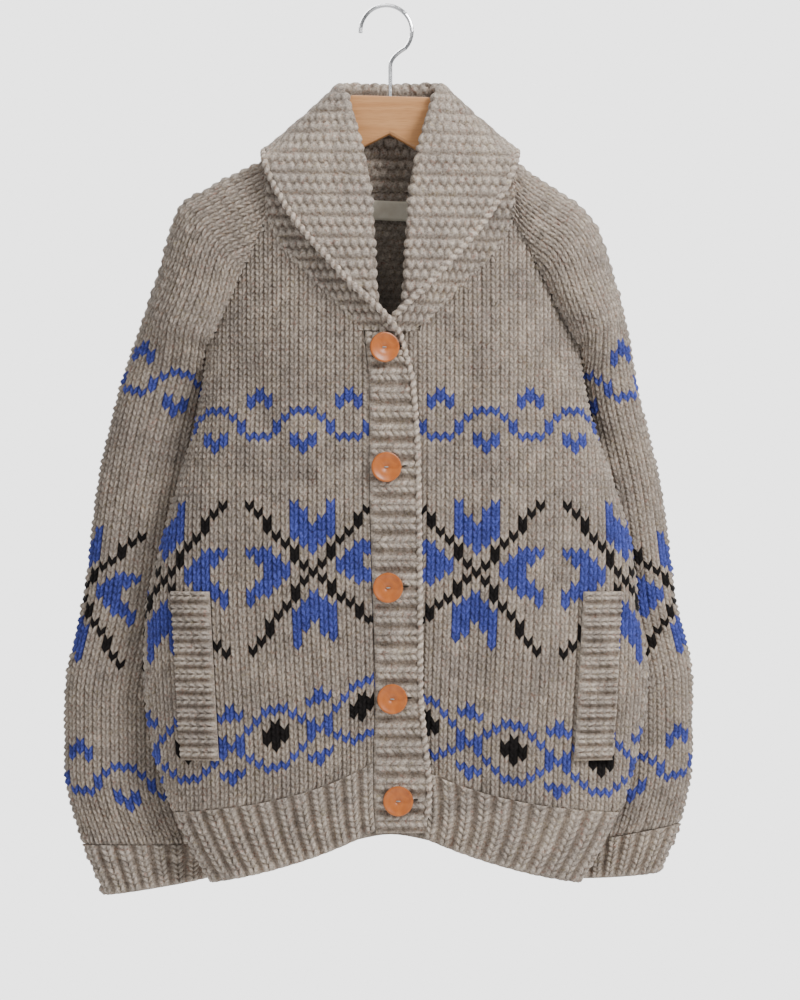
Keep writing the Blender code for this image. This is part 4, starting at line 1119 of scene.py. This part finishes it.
# %% Knit the bands
def band_surface(x, drop, behind):
    """The face of the button band at x and drop, moved back by a depth where it passes under."""
    row = (drop - UNDERARM_DROP) / (RIB_DROP - UNDERARM_DROP) * BODY_FOOT
    hem = np.clip((drop - RIB_DROP) / (HEM_DROP - RIB_DROP), 0, 1)
    half, depth = body_ring(np.clip(row, BODY_FOOT, 0), "right", "front", hem)[:2]
    y = -depth * np.sqrt(1 - np.minimum(np.abs(x) / half, 0.99) ** 2)
    return np.stack([x, y + behind, -drop], -1)


BAND_ROWS = 7


def band_place(over):
    """place and length of a band, the one with buttonholes or the one under it."""
    top, foot = (BAND["drop"][0] + 1, BAND_FOOT) if over else (BAND["drop"][0] + 14, BAND_FOOT - 4)

    def place(s, row):
        drop = top + s
        seam = -band_side_seen(drop, "right")
        free = smooth(drop, BAND["drop"], BAND["free_x"])
        first, last, behind = seam + 1.3 * SEAM, free, BAND_PROUD
        if not over:
            last = band_side_seen(drop, "left") - SEAM
            first, behind = last - free + seam + 7, UNDERLAP - 1.2
        share = row / BAND_ROWS
        return band_surface(first + (last - first) * share, drop, behind)

    return place, foot - top


for name, over in (("band_over", True), ("band_under", False)):
    place, long = band_place(over)
    made = knit(f"{name}_rib", place, between(0, long), (0, BAND_RIBS), (0, BAND_ROWS), RIB,
                pitch=long / BAND_RIBS, thick=BAND_KNIT, facing=FORWARD)
    dress(made, name)

# %% Knit the pocket welts
def front_patch(x, drop, side):
    """Points of a front's outer face at given x and drop, for what lies on it."""
    row = (drop - UNDERARM_DROP) / (RIB_DROP - UNDERARM_DROP) * BODY_FOOT
    for _ in range(6):
        angle = angle_at(x, row, side, "front")
        now = -body_point(angle, row, side, "front")[..., 2]
        row = row + (drop - now) / (RIB_DROP - UNDERARM_DROP) * BODY_FOOT
    return body_point(angle_at(x, row, side, "front"), row, side, "front")


WELT_ROWS = 5
for side in ("right", "left"):
    def place(s, row, side=side):
        drop = WELT["top_drop"] + s
        inner_x = np.interp(drop, [WELT["top_drop"], WELT["foot_drop"]], [WELT["top_x"], WELT["foot_x"]])
        inner_x = inner_x + (LEFT_WELT_OUT if side == "left" else 0)
        x = inner_x + WELT["width"] * row / WELT_ROWS
        found = front_patch(x, drop, side)
        ahead = front_patch(x + 1.0, drop, side) - found
        lower = front_patch(x, drop + 1.0, side) - found
        normal = np.cross(ahead, lower)
        normal = normal / np.linalg.norm(normal, axis=-1, keepdims=True)
        normal = normal * -np.sign(normal[..., 1:2])
        return found + normal * (SEAM + WELT_KNIT + 1.6)

    long = WELT["foot_drop"] - WELT["top_drop"]
    made = knit(f"pocket_welt_{side}_rib", place, between(0, long), (0, WELT_RIBS), (0, WELT_ROWS), RIB,
                pitch=long / WELT_RIBS, thick=WELT_KNIT, facing=FORWARD)
    dress(made, f"pocket_welt_{side}")

# %% [markdown]
# ## The shawl collar
#
# The collar is one wide strip of garter stitch, picked up round the neck and folded over on itself. Garter
# stitch shows ridges of bumps on both sides, a centimetre apart, and on this collar they lie level wherever
# they are seen from the front. The section is swept round the neck as in the solid, and the bumps are
# pushed out of it by where they are, so that the ridges stay level over the fold.

# %% Sweep the collar
def round_the_neck(start, count):
    """Side and station from the right foot of the V round the back of the neck to the left foot."""
    stations = np.linspace(start, 12, count)
    return [("right", t) for t in stations] + [("left", t) for t in stations[::-1][1:]]


def neckline(t, side):
    """A point of the neckline at a collar station: on the front, over the sleeve's head or on the back."""
    x = smooth(t, COLLAR["station"], COLLAR["seam_x"])
    if t < 5:
        drop = smooth(t, COLLAR["station"], COLLAR["seam_drop"])
        rows = np.array(FRONT_ROWS[13:])[::-1]
        x = np.interp(drop, course(rows, "front")[0], front_edge_x(rows, side))
        return front_patch(x, drop, side) + [0, KNIT / 2, 0]
    if t < 9:
        return sleeve_ring((t - 5) / 4, float(YOKE_TOP), side, KNIT / 2)
    return body_point(angle_at(x, YOKE_TOP, side, "back"), float(YOKE_TOP), side, "back", inside=KNIT / 2)


def collar_station(t, side):
    """Seam, fold and free edge of the collar at a station, with its lapel's thickness."""
    at = {key: smooth(t, COLLAR["station"], COLLAR[key]) for key in COLLAR if key != "station"}
    sign = 1 if side == "left" else -1
    points = [neckline(t, side)]
    for part in ("fold", "edge"):
        point = np.array([sign * at[part + "_x"], at[part + "_y"], -at[part + "_drop"]])
        if side == "left":
            point[1] += UNDERLAP * (1 - ease(t / 3.0))
        points.append(point)
    return points, float(at["lapel"])


def collar_section(points, lapel, along):
    """The folded collar's outline at one station: up the stand, over the fold, down the lapel and back."""
    seam, fold, edge = points
    up = (fold - seam) / np.linalg.norm(fold - seam)
    out = -np.cross(along, up)
    out /= np.linalg.norm(out)
    seam = seam + up * COLLAR_SEAM
    half = COLLAR_KNIT / 2
    radius = (COLLAR_KNIT + LAYER_GAP + lapel) / 2
    turn_at = fold - up * radius
    stand = [blend(seam, turn_at, t) for t in (0, 0.33, 0.66, 1)]
    middle = turn_at + out * (radius - half)
    lapel_top = turn_at + out * (half + LAYER_GAP + lapel / 2)
    down = (edge - lapel_top) / max(np.linalg.norm(edge - lapel_top), 1e-6)
    face = np.cross(np.cross(down, out), down)
    face /= np.linalg.norm(face)
    reach = [blend(lapel_top, edge, t) for t in (0, 0.35, 0.7, 1)]
    outline = [p - out * half for p in stand]
    for angle in (45, 90, 135):
        a = math.radians(angle)
        outline.append(middle - out * radius * math.cos(a) + up * radius * math.sin(a))
    outline += [p + face * lapel / 2 for p in reach]
    outline.append(edge + down * lapel * 0.45)
    outline += [p - face * lapel / 2 for p in reach[::-1]]
    outline += [p + out * half for p in stand[::-1]]
    return np.array(outline)


print("the neckline at the raglan seam:", neckline(5, "right"))

# %% The collar's grid
OUTER_POINT = 9  # the point of a section that lies on the lapel, where the collar's length is measured


def collar_grid(count_along, count_round):
    """Points round the collar's section, at even steps along the collar and round the section."""
    found = [collar_station(t, side) for side, t in round_the_neck(0, 61)]
    middles = np.array([(p[0] + p[1]) / 2 for p, _ in found])
    along = np.gradient(middles, axis=0)
    along /= np.linalg.norm(along, axis=1, keepdims=True)
    rings = np.array([collar_section(p, lapel, a) for (p, lapel), a in zip(found, along)])
    rings = np.concatenate([rings, rings[:, :1]], 1)
    outer_path = lengths(rings[:, OUTER_POINT])
    wanted = np.linspace(0, outer_path[-1], count_along)
    dense = np.stack([[np.interp(wanted, outer_path, rings[:, j, c]) for c in range(3)]
                      for j in range(rings.shape[1])])
    dense = dense.transpose(2, 0, 1)
    result = np.zeros((count_along, count_round, 3))
    for i in range(count_along):
        length = lengths(dense[i])
        share = np.linspace(0, length[-1], count_round + 1)[:-1]
        for c in range(3):
            result[i, :, c] = np.interp(share, length, dense[i, :, c])
    return result


grid = collar_grid(400, 240)
print("the collar's grid:", grid.shape)

# %% Raise the collar's bumps
RIDGE = 10.2  # the height of a ridge
BUMP = 8.2  # the width of a bump
along = np.gradient(grid, axis=0)
around = (np.roll(grid, -1, 1) - np.roll(grid, 1, 1)) / 2
normal = np.cross(along, around)
normal /= np.maximum(np.linalg.norm(normal, axis=-1, keepdims=True), 1e-9)
away = grid - grid.mean(1, keepdims=True)
normal *= 1.0 if (normal * away).sum() > 0 else -1.0
# Bumps are counted sideways and towards the back, and ridges by height. They weave up and down a little, and
# fade out on top of the fold, where the collar lies level.
sideways = np.abs(grid[..., 0]) + 0.7 * grid[..., 1]
level_top = ease((np.abs(normal[..., 2]) - 0.5) / 0.3)
weave = 0.13 * np.cos(2 * math.pi * sideways / BUMP) * (1 - level_top)
phase = grid[..., 2] / RIDGE + 0.015 * grid[..., 0] / RIDGE + weave
line = np.floor(phase)
ridge = blend(np.abs(np.sin(math.pi * phase)), 0.75, level_top)
shifted = sideways / BUMP + 0.5 * (line % 2)
knob = np.abs(np.sin(math.pi * shifted))
unevenness = 1 + 0.18 * np.sin(line * 12.9898 + np.floor(shifted) * 78.233)
bump = ridge**0.8 * (0.22 + 0.78 * knob**0.7)
relief = 3.2 * bump * unevenness - 1.5
points = grid + normal * relief[..., None]
index = np.arange(grid[..., 0].size).reshape(grid.shape[:2])
after = np.roll(index, -1, 1)
faces = np.stack([index[:-1], index[1:], after[1:], after[:-1]], -1).reshape(-1, 4)
caps = [index[0].tolist(), index[-1][::-1].tolist()]
points = points.reshape(-1, 3) + [GARMENT_SHIFT, 0, 0]
collar_knit = new_object("collar_garter", points, faces.tolist() + caps, heather_wool, YARN_ANGLE)
tone = 1 + 0.07 * np.sin(line * 31.7 + np.floor(shifted) * 17.3)
shade = WOOL[None] * tone[:-1].reshape(-1, 1)
# Painted shade: the gaps between the bumps keep a low share and come out darker.
unshaded_share = np.clip(bump * 1.3 - 0.1, 0, 1)
shade = np.concatenate([shade, np.repeat(WOOL[None], len(caps), 0)])
paint(collar_knit, shade.astype(np.float32), unshaded_share.reshape(-1))
dress(collar_knit, "collar")
print("collar faces:", len(faces))

# %% [markdown]
# ## Chain edges
#
# A slipped stitch at the start of each row leaves a neat chain along the collar's free edge and the band's.
# It is painted paler than the cloth, as painted light, because it stands clear of the shade between stitches. A
# tube whose swelling winds round it gives the look of links, with painted shade between them. The same tube,
# less swollen and not painted paler, sews the raglan seams, the neckline and the underarms.

# %% Make the chains and seams
ROUND = 10  # points round a tube of yarn
STEP = 1.6  # mm between its rings


def chain(name, path, radius, link, lift=1.0, tone=1.25):
    """A tube of yarn with links, along a path in millimetres."""
    path = np.asarray(path, float)
    length = lengths(path)
    count = int(length[-1] / STEP)
    at = np.linspace(0, length[-1], count)
    line = np.stack([np.interp(at, length, path[:, c]) for c in range(3)], -1)
    run = np.gradient(line, axis=0)
    run /= np.linalg.norm(run, axis=1, keepdims=True)
    side = np.cross(run, [0, 1, 0])
    side /= np.maximum(np.linalg.norm(side, axis=1, keepdims=True), 1e-6)
    other = np.cross(run, side)
    turns = np.arange(ROUND) / ROUND * 2 * math.pi
    swell = 1 + 0.2 * np.cos(2 * math.pi * at[:, None] / link - turns[None]) * lift
    ends = np.minimum(1, np.minimum(at, length[-1] - at) / 3)[:, None] * 0.9 + 0.1
    r = radius * swell * ends
    spoke = side[:, None] * np.cos(turns)[None, :, None] + other[:, None] * np.sin(turns)[None, :, None]
    points = line[:, None] + spoke * r[..., None]
    index = np.arange(count * ROUND).reshape(count, ROUND)
    after = np.roll(index, -1, 1)
    faces = np.stack([index[:-1], after[:-1], after[1:], index[1:]], -1).reshape(-1, 4).tolist()
    faces += [index[0][::-1].tolist(), index[-1].tolist()]
    made = new_object(name, points.reshape(-1, 3) + [GARMENT_SHIFT, 0, 0], faces, heather_wool, YARN_ANGLE)
    # Painted shade between the links; a tone above 1 paints the whole tube paler, as painted light.
    unshaded_share = np.clip((swell - 0.8) / 0.3, 0.1, 1)
    paint(made, np.repeat((WOOL * tone)[None], len(faces), 0).astype(np.float32), unshaded_share.reshape(-1))
    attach(made, "root")
    print(name, round(length[-1]), "mm long")
    return made


edge_line = []
for side, t in round_the_neck(0, 49):
    (_, fold, edge), lapel = collar_station(t, side)
    out = (edge - fold) / np.linalg.norm(edge - fold)
    edge_line.append(edge + out * (lapel * 0.35 + 1.0) + [0, -1.0 * ease((5 - t) / 3), 0])
chain("collar_chain", edge_line, 3.0, 7.5)

UNDERARM_OUT = {"right": 173.9, "left": 179.0}  # where a thick yarn closes the corner under each arm
for side in ("right", "left"):
    sign = 1 if side == "left" else -1
    seam_line = []
    for face, rows in (("front", np.linspace(YOKE_TOP, 0, 60)), ("back", np.linspace(0, YOKE_TOP, 60))):
        x, drop, gap = raglan(rows, side, face)
        depth = (gap - 2.2) * (-1 if face == "front" else 1)
        seam_line += np.stack([sign * (x + 0.3), depth, -drop], -1).tolist()
    chain(f"raglan_{side}_seam", seam_line, 1.9, 6.5, 0.8, 1.0)
    out = sign * UNDERARM_OUT[side]
    chain(f"underarm_{side}_seam", [(out, 0, -318), (out, 0, -330), (out, 0, -342)], 3.6, 6.5, 0.5, 1.0)

pick_up = [neckline(t, side) for side, t in round_the_neck(0.2, 70)]
pick_up = [point + [0, -0.8 if point[1] < 0 else 0.8, 0] for point in pick_up]
chain("collar_seam", pick_up, 2.1, 7.0, 0.8, 1.0)

drops = np.linspace(BAND["drop"][0] - 1, BAND_FOOT - 14, 120)
free = smooth(drops, BAND["drop"], BAND["free_x"])
band_line = band_surface(free - 0.8, drops, BAND_PROUD - 0.4)
chain("band_chain", band_line, 2.6, 7.5)

# %% [markdown]
# ## Buttons
#
# The buttons are turned from amber-coloured resin: a rounded rim, a flat face and a shallow well with the
# thread in it. A turned piece is a profile spun round its axis. Beside each button the end of its
# buttonhole shows as a short slit, because the button pulls to that side; its near-black colour is painted
# shade.

# %% Resin and thread
amber = Finish("amber resin", Roughness=0.4, Coat_Weight=0.12, Coat_Roughness=0.3)
swirl = amber.noise(amber.where(), 60.0, 4.0, Distortion=1.4)
amber.feed("Base Color", amber.ramp(swirl, (0.25, (0.36, 0.085, 0.012)), (0.75, (0.56, 0.165, 0.032))))
amber.feed("Roughness", swirl * 0.25 + 0.24)
amber.feed("Normal", amber.bump(swirl, 0.0004, 0.4))
thread = Finish("grey thread", Roughness=0.8)
twist = thread.noise(thread.where(), 1500.0)
thread.feed("Base Color", thread.ramp(twist, (0.3, (0.2, 0.19, 0.17)), (0.7, (0.42, 0.4, 0.37))))
thread.feed("Normal", thread.bump(twist, 0.0003, 0.6))
print("made", amber.material.name, "and", thread.material.name)

# %% Turn the buttons
PROFILE = (  # shares of the radius and of the thickness, from the well's floor over the rim to the back
    (0.0, 0.42), (0.13, 0.42), (0.2, 0.5), (0.27, 0.66), (0.5, 0.72), (0.78, 0.8), (0.86, 0.97), (0.92, 1.0),
    (0.97, 0.93), (1.0, 0.7), (1.0, 0.4), (0.96, 0.12), (0.86, 0.0), (0.0, 0.0),
)


def turned(name, radius, thick, finish):
    """The profile spun round its axis, with a point at the middle of the front and of the back."""
    sides = 56
    points, faces = [], []
    rings = PROFILE[1:-1]
    for r, height in rings:
        for k in range(sides):
            a = 2 * math.pi * k / sides
            points.append((radius * r * math.cos(a), -height * thick, radius * r * math.sin(a)))
    for ring in range(len(rings) - 1):
        for k in range(sides):
            a, b = ring * sides + k, ring * sides + (k + 1) % sides
            faces.append([a, a + sides, b + sides, b])
    points += [(0, -PROFILE[0][1] * thick, 0), (0, 0, 0)]
    last = (len(rings) - 1) * sides
    for k in range(sides):
        faces.append([len(points) - 2, k, (k + 1) % sides])
        faces.append([len(points) - 1, last + (k + 1) % sides, last + k])
    return new_object(name, points, faces, finish, HARD_ANGLE)


for number, (x, drop, degrees) in enumerate(zip(*BUTTONS.values()), 1):
    turn = math.radians(degrees)
    button = turned(f"button_{number}_turned", BUTTON_ACROSS / 2, BUTTON_THICK, amber.material)
    button.rotation_euler = (0, 0, turn)
    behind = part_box(f"button_{number}")[1][1]
    seat = behind - 0.9 * BUTTON_ACROSS / 2 * MM * abs(math.sin(turn))
    button.location = ((x + GARMENT_SHIFT) * MM, seat, -drop * MM)
    strand = []
    for a in np.arange(9) * math.pi / 8:
        y = seat / MM - 1.6 - 1.1 * math.sin(a)
        strand.append((x - 2.6 * math.cos(a), y, -drop + 0.5 * math.sin(3 * a)))
    knot = chain(f"button_{number}_thread", strand, 0.9, 2.4, 0.5)
    knot.data.materials[0] = thread.material
    dress(button, f"button_{number}")

# %% Buttonholes
hole_shade_wool = wool_finish("shaded wool", 0.6)
for number, (x, drop) in enumerate(zip(BUTTONS["x"], BUTTONS["drop"]), 1):
    spots = np.linspace(x + 13.5, x + 20.0, 12)
    slit = band_surface(spots, np.full(12, drop - 1.0), BAND_PROUD - 2.0)
    hole = chain(f"buttonhole_{number}", slit, 1.1, 4.0, 0.4)
    hole.data.materials[0] = hole_shade_wool
    # Painted shade: each slit is coloured nearly black, for the shade inside the open buttonhole.
    layer = hole.data.color_attributes["yarn"]
    dark = np.tile(np.array([0.03, 0.024, 0.018, 1], np.float32), len(layer.data))
    layer.data.foreach_set("color", dark)

# %% [markdown]
# ## Label, hanger and hook
#
# The label is a bare strip of woven tape. The hanger's solid already has its shape, so it keeps it and gets
# a finish of pale beech: long fine grain along each arm under a satin lacquer. The hook is polished wire.

# %% The label
tape = Finish("woven label", Roughness=0.8, Sheen_Weight=0.1)
where = tape.where()
weave_a = tape.node("ShaderNodeTexWave", {"bands_direction": "X"}, {"Vector": where, "Scale": 420.0}, "Fac")
weave_b = tape.node("ShaderNodeTexWave", {"bands_direction": "Z"}, {"Vector": where, "Scale": 420.0}, "Fac")
worn = tape.noise(where, 120.0, 4.0)
tape.feed("Base Color", tape.ramp(worn, (0.3, (0.74, 0.66, 0.52)), (0.75, (0.88, 0.82, 0.68))))
tape.feed("Normal", tape.bump(weave_a + weave_b, 0.0003, 0.5))
across, upright = np.meshgrid(np.linspace(0, 1, 37), np.linspace(0, 1, 15))
tilt = math.sin(math.radians(LABEL["tilt"]))
x = LABEL["left"] + (LABEL["right"] - LABEL["left"]) * across
drop = LABEL["top"] + (LABEL["foot"] - LABEL["top"]) * upright + tilt * x
row = YOKE_TOP * (UNDERARM_DROP - drop) / (UNDERARM_DROP - RAGLAN_TOP_BACK["drop"])
half, depth = body_ring(row, "right", "back")[:2]
y = (depth - KNIT) * np.sqrt(1 - (x / half) ** 2) - 0.8
y = y - 0.35 * np.sin(across * 7.0) * np.sin(upright * math.pi)
edge = np.minimum(np.minimum(across, 1 - across) * 36, np.minimum(upright, 1 - upright) * 19)
plump = LABEL["thick"] * (0.45 + 0.55 * ease(edge / 1.2))
front_side = np.stack([x + GARMENT_SHIFT, y - plump, -drop], -1).reshape(-1, 3)
rear_side = np.stack([x + GARMENT_SHIFT, y, -drop], -1).reshape(-1, 3)
high_count, wide_count = across.shape
faces = grid_faces(high_count, wide_count, 0)[:, ::-1].tolist()
faces += grid_faces(high_count, wide_count, high_count * wide_count).tolist()
edges = list(range(wide_count)) + [wide_count * (k + 1) - 1 for k in range(1, high_count)]
edges += [wide_count * (high_count - 1) + k for k in range(wide_count - 2, -1, -1)]
edges += [wide_count * k for k in range(high_count - 2, 0, -1)]
for a, b in zip(edges, edges[1:] + edges[:1]):
    faces.append([a, b, b + high_count * wide_count, a + high_count * wide_count])
label = new_object("label_tape", np.concatenate([front_side, rear_side]), faces, tape.material, HARD_ANGLE)
dress(label, "label")
print("label made,", len(faces), "faces")

# %% Wood and steel
beech = Finish("beech", Roughness=0.42, Coat_Weight=0.2, Coat_Roughness=0.25)
stretched = beech.node("ShaderNodeMapping", None, {"Vector": beech.where(), "Scale": (9.0, 60.0, 160.0)})
grain = beech.noise(stretched, 1.0, 6.0, Distortion=0.5)
pores = beech.noise(stretched, 9.0)
colour = beech.ramp(grain, (0.3, (0.50, 0.225, 0.082)), (0.7, (0.62, 0.31, 0.125)))
pore_dark = beech.ramp(pores, (0.3, (0.86, 0.82, 0.78)), (0.5, (1, 1, 1)))
beech.feed("Base Color", beech.mix(1.0, colour, pore_dark, "MULTIPLY"))
beech.feed("Roughness", grain * 0.2 + 0.32)
beech.feed("Normal", beech.bump(pores, 0.0002, 0.35))
steel = Finish("polished steel", Metallic=1.0, Roughness=0.16)
rubbed = steel.noise(steel.where(), 240.0, 4.0)
steel.feed("Base Color", steel.ramp(rubbed, (0.3, (0.55, 0.55, 0.56)), (0.7, (0.72, 0.72, 0.73))))
steel.feed("Roughness", rubbed * 0.2 + 0.08)
for node, finish in (("hanger", beech.material), ("hook", steel.material)):
    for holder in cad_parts[node].material_slots:
        holder.material = finish
print("finished the wood and the steel")

# %% [markdown]
# ## What the cloth was cut to
#
# Knitting isn't cut, but each piece has a flat size before it is sewn. It is declared for every knitted
# piece, so that its area can be compared with what was made.

# %% Flat sizes
SHEETS = {  # width and length in metres, the share of that rectangle which is cut, and what it hangs on
    "front_right_knit": (0.25, 0.54, 0.80, ["hanger"]),
    "front_left_knit": (0.25, 0.54, 0.80, ["hanger"]),
    "back_knit": (0.50, 0.57, 0.85, ["hanger"]),
    "sleeve_right_knit": (0.36, 0.62, 0.75, ["hanger"]),
    "sleeve_left_knit": (0.36, 0.62, 0.75, ["hanger"]),
    "hem_front_right_rib": (0.235, 0.069, 1.0, ["front_right_knit"]),
    "hem_front_left_rib": (0.235, 0.069, 1.0, ["front_left_knit"]),
    "hem_back_rib": (0.46, 0.086, 0.9, ["back_knit"]),
    "cuff_right_rib": (0.25, 0.045, 1.0, ["sleeve_right_knit"]),
    "cuff_left_rib": (0.25, 0.045, 1.0, ["sleeve_left_knit"]),
    "band_over_rib": (0.045, 0.476, 0.95, ["front_right_knit"]),
    "band_under_rib": (0.045, 0.459, 0.95, ["front_left_knit"]),
    "pocket_welt_right_rib": (0.036, 0.16, 1.0, ["front_right_knit"]),
    "pocket_welt_left_rib": (0.036, 0.16, 1.0, ["front_left_knit"]),
    "collar_garter": (0.21, 0.80, 0.75, ["hanger", "back_knit"]),
    "label_tape": (0.036, 0.019, 1.0, ["back_knit"]),
}
for name, (width, length, cut, carrier) in SHEETS.items():
    piece = bpy.data.objects[name]
    area = width * length * cut
    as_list(carrier)
    half = sum(face.area for face in piece.data.polygons) / 2
    print(f"{name}: half its surface {half:.4f} m2, cut {area:.4f} m2, ratio {half / area:.2f}")

# %% [markdown]
# ## Camera, light and floor
#
# The photograph was taken straight on, from eye level, with a long lens, in broad soft light that comes
# mostly from the upper right. A long lens far away keeps the sleeves from looking larger than the body.

# %% Camera and light
camera_data = bpy.data.cameras.new("camera")
camera = bpy.data.objects.new("camera", camera_data)
bpy.context.scene.collection.objects.link(camera)
DISTANCE = 2.8
PICTURE_HEIGHT = 0.95
camera_data.lens = 36 * DISTANCE / PICTURE_HEIGHT
camera.location = (0.0133, -0.03 - DISTANCE, -0.473)
camera.rotation_euler = (math.radians(90), 0, 0)
bpy.context.scene.camera = camera

lights = (
    ("key", (1.6, -1.6, 1.0), 1.0, 72.0),
    ("fill", (-1.9, -2.2, 0.1), 2.0, 10.0),
    ("top", (0.1, -0.5, 1.6), 1.2, 20.0),
    ("rear", (-0.8, 2.0, 0.7), 1.4, 70.0),
)
for name, at, size, power in lights:
    lamp = bpy.data.lights.new(name, "AREA")
    lamp.size = size
    lamp.energy = power
    lit = bpy.data.objects.new(name, lamp)
    lit.location = at
    lit.rotation_euler = (Vector((0, 0, -0.45)) - Vector(at)).to_track_quat("-Z", "Y").to_euler()
    bpy.context.scene.collection.objects.link(lit)

world = bpy.data.worlds.new("studio")
bpy.context.scene.world = world
world.use_nodes = True
tree = world.node_tree
lit_air = tree.nodes["Background"]
lit_air.inputs[0].default_value = (0.92, 0.94, 0.96, 1)
lit_air.inputs[1].default_value = 0.36
seen_air = tree.nodes.new("ShaderNodeBackground")
seen_air.inputs[0].default_value = (1.0, 1.0, 1.0, 1)
seen_air.inputs[1].default_value = 3.0
ray = tree.nodes.new("ShaderNodeLightPath")
either = tree.nodes.new("ShaderNodeMixShader")
tree.links.new(ray.outputs["Is Camera Ray"], either.inputs[0])
tree.links.new(lit_air.outputs[0], either.inputs[1])
tree.links.new(seen_air.outputs[0], either.inputs[2])
tree.links.new(either.outputs[0], tree.nodes["World Output"].inputs[0])

paper = Finish("pale floor", Roughness=0.9, Base_Color=(0.93, 0.93, 0.93, 1))
outline = [(-3000, -3500, -1250), (3000, -3500, -1250), (3000, 1500, -1250), (-3000, 1500, -1250)]
floor = new_object("floor", outline, [[0, 1, 2, 3]], paper.material, HARD_ANGLE)
floor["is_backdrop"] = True
print("camera lens:", round(camera_data.lens, 1), "mm")

# %% Sizes before and after, and the end
def corners(box):
    """A box as plain lists, which JSON can hold."""
    return [list(map(float, box[0])), list(map(float, box[1]))]


seen_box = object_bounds()
{"cad": corners(cad_box), "visual": corners(seen_box)}
print("visual model:", corners(seen_box))
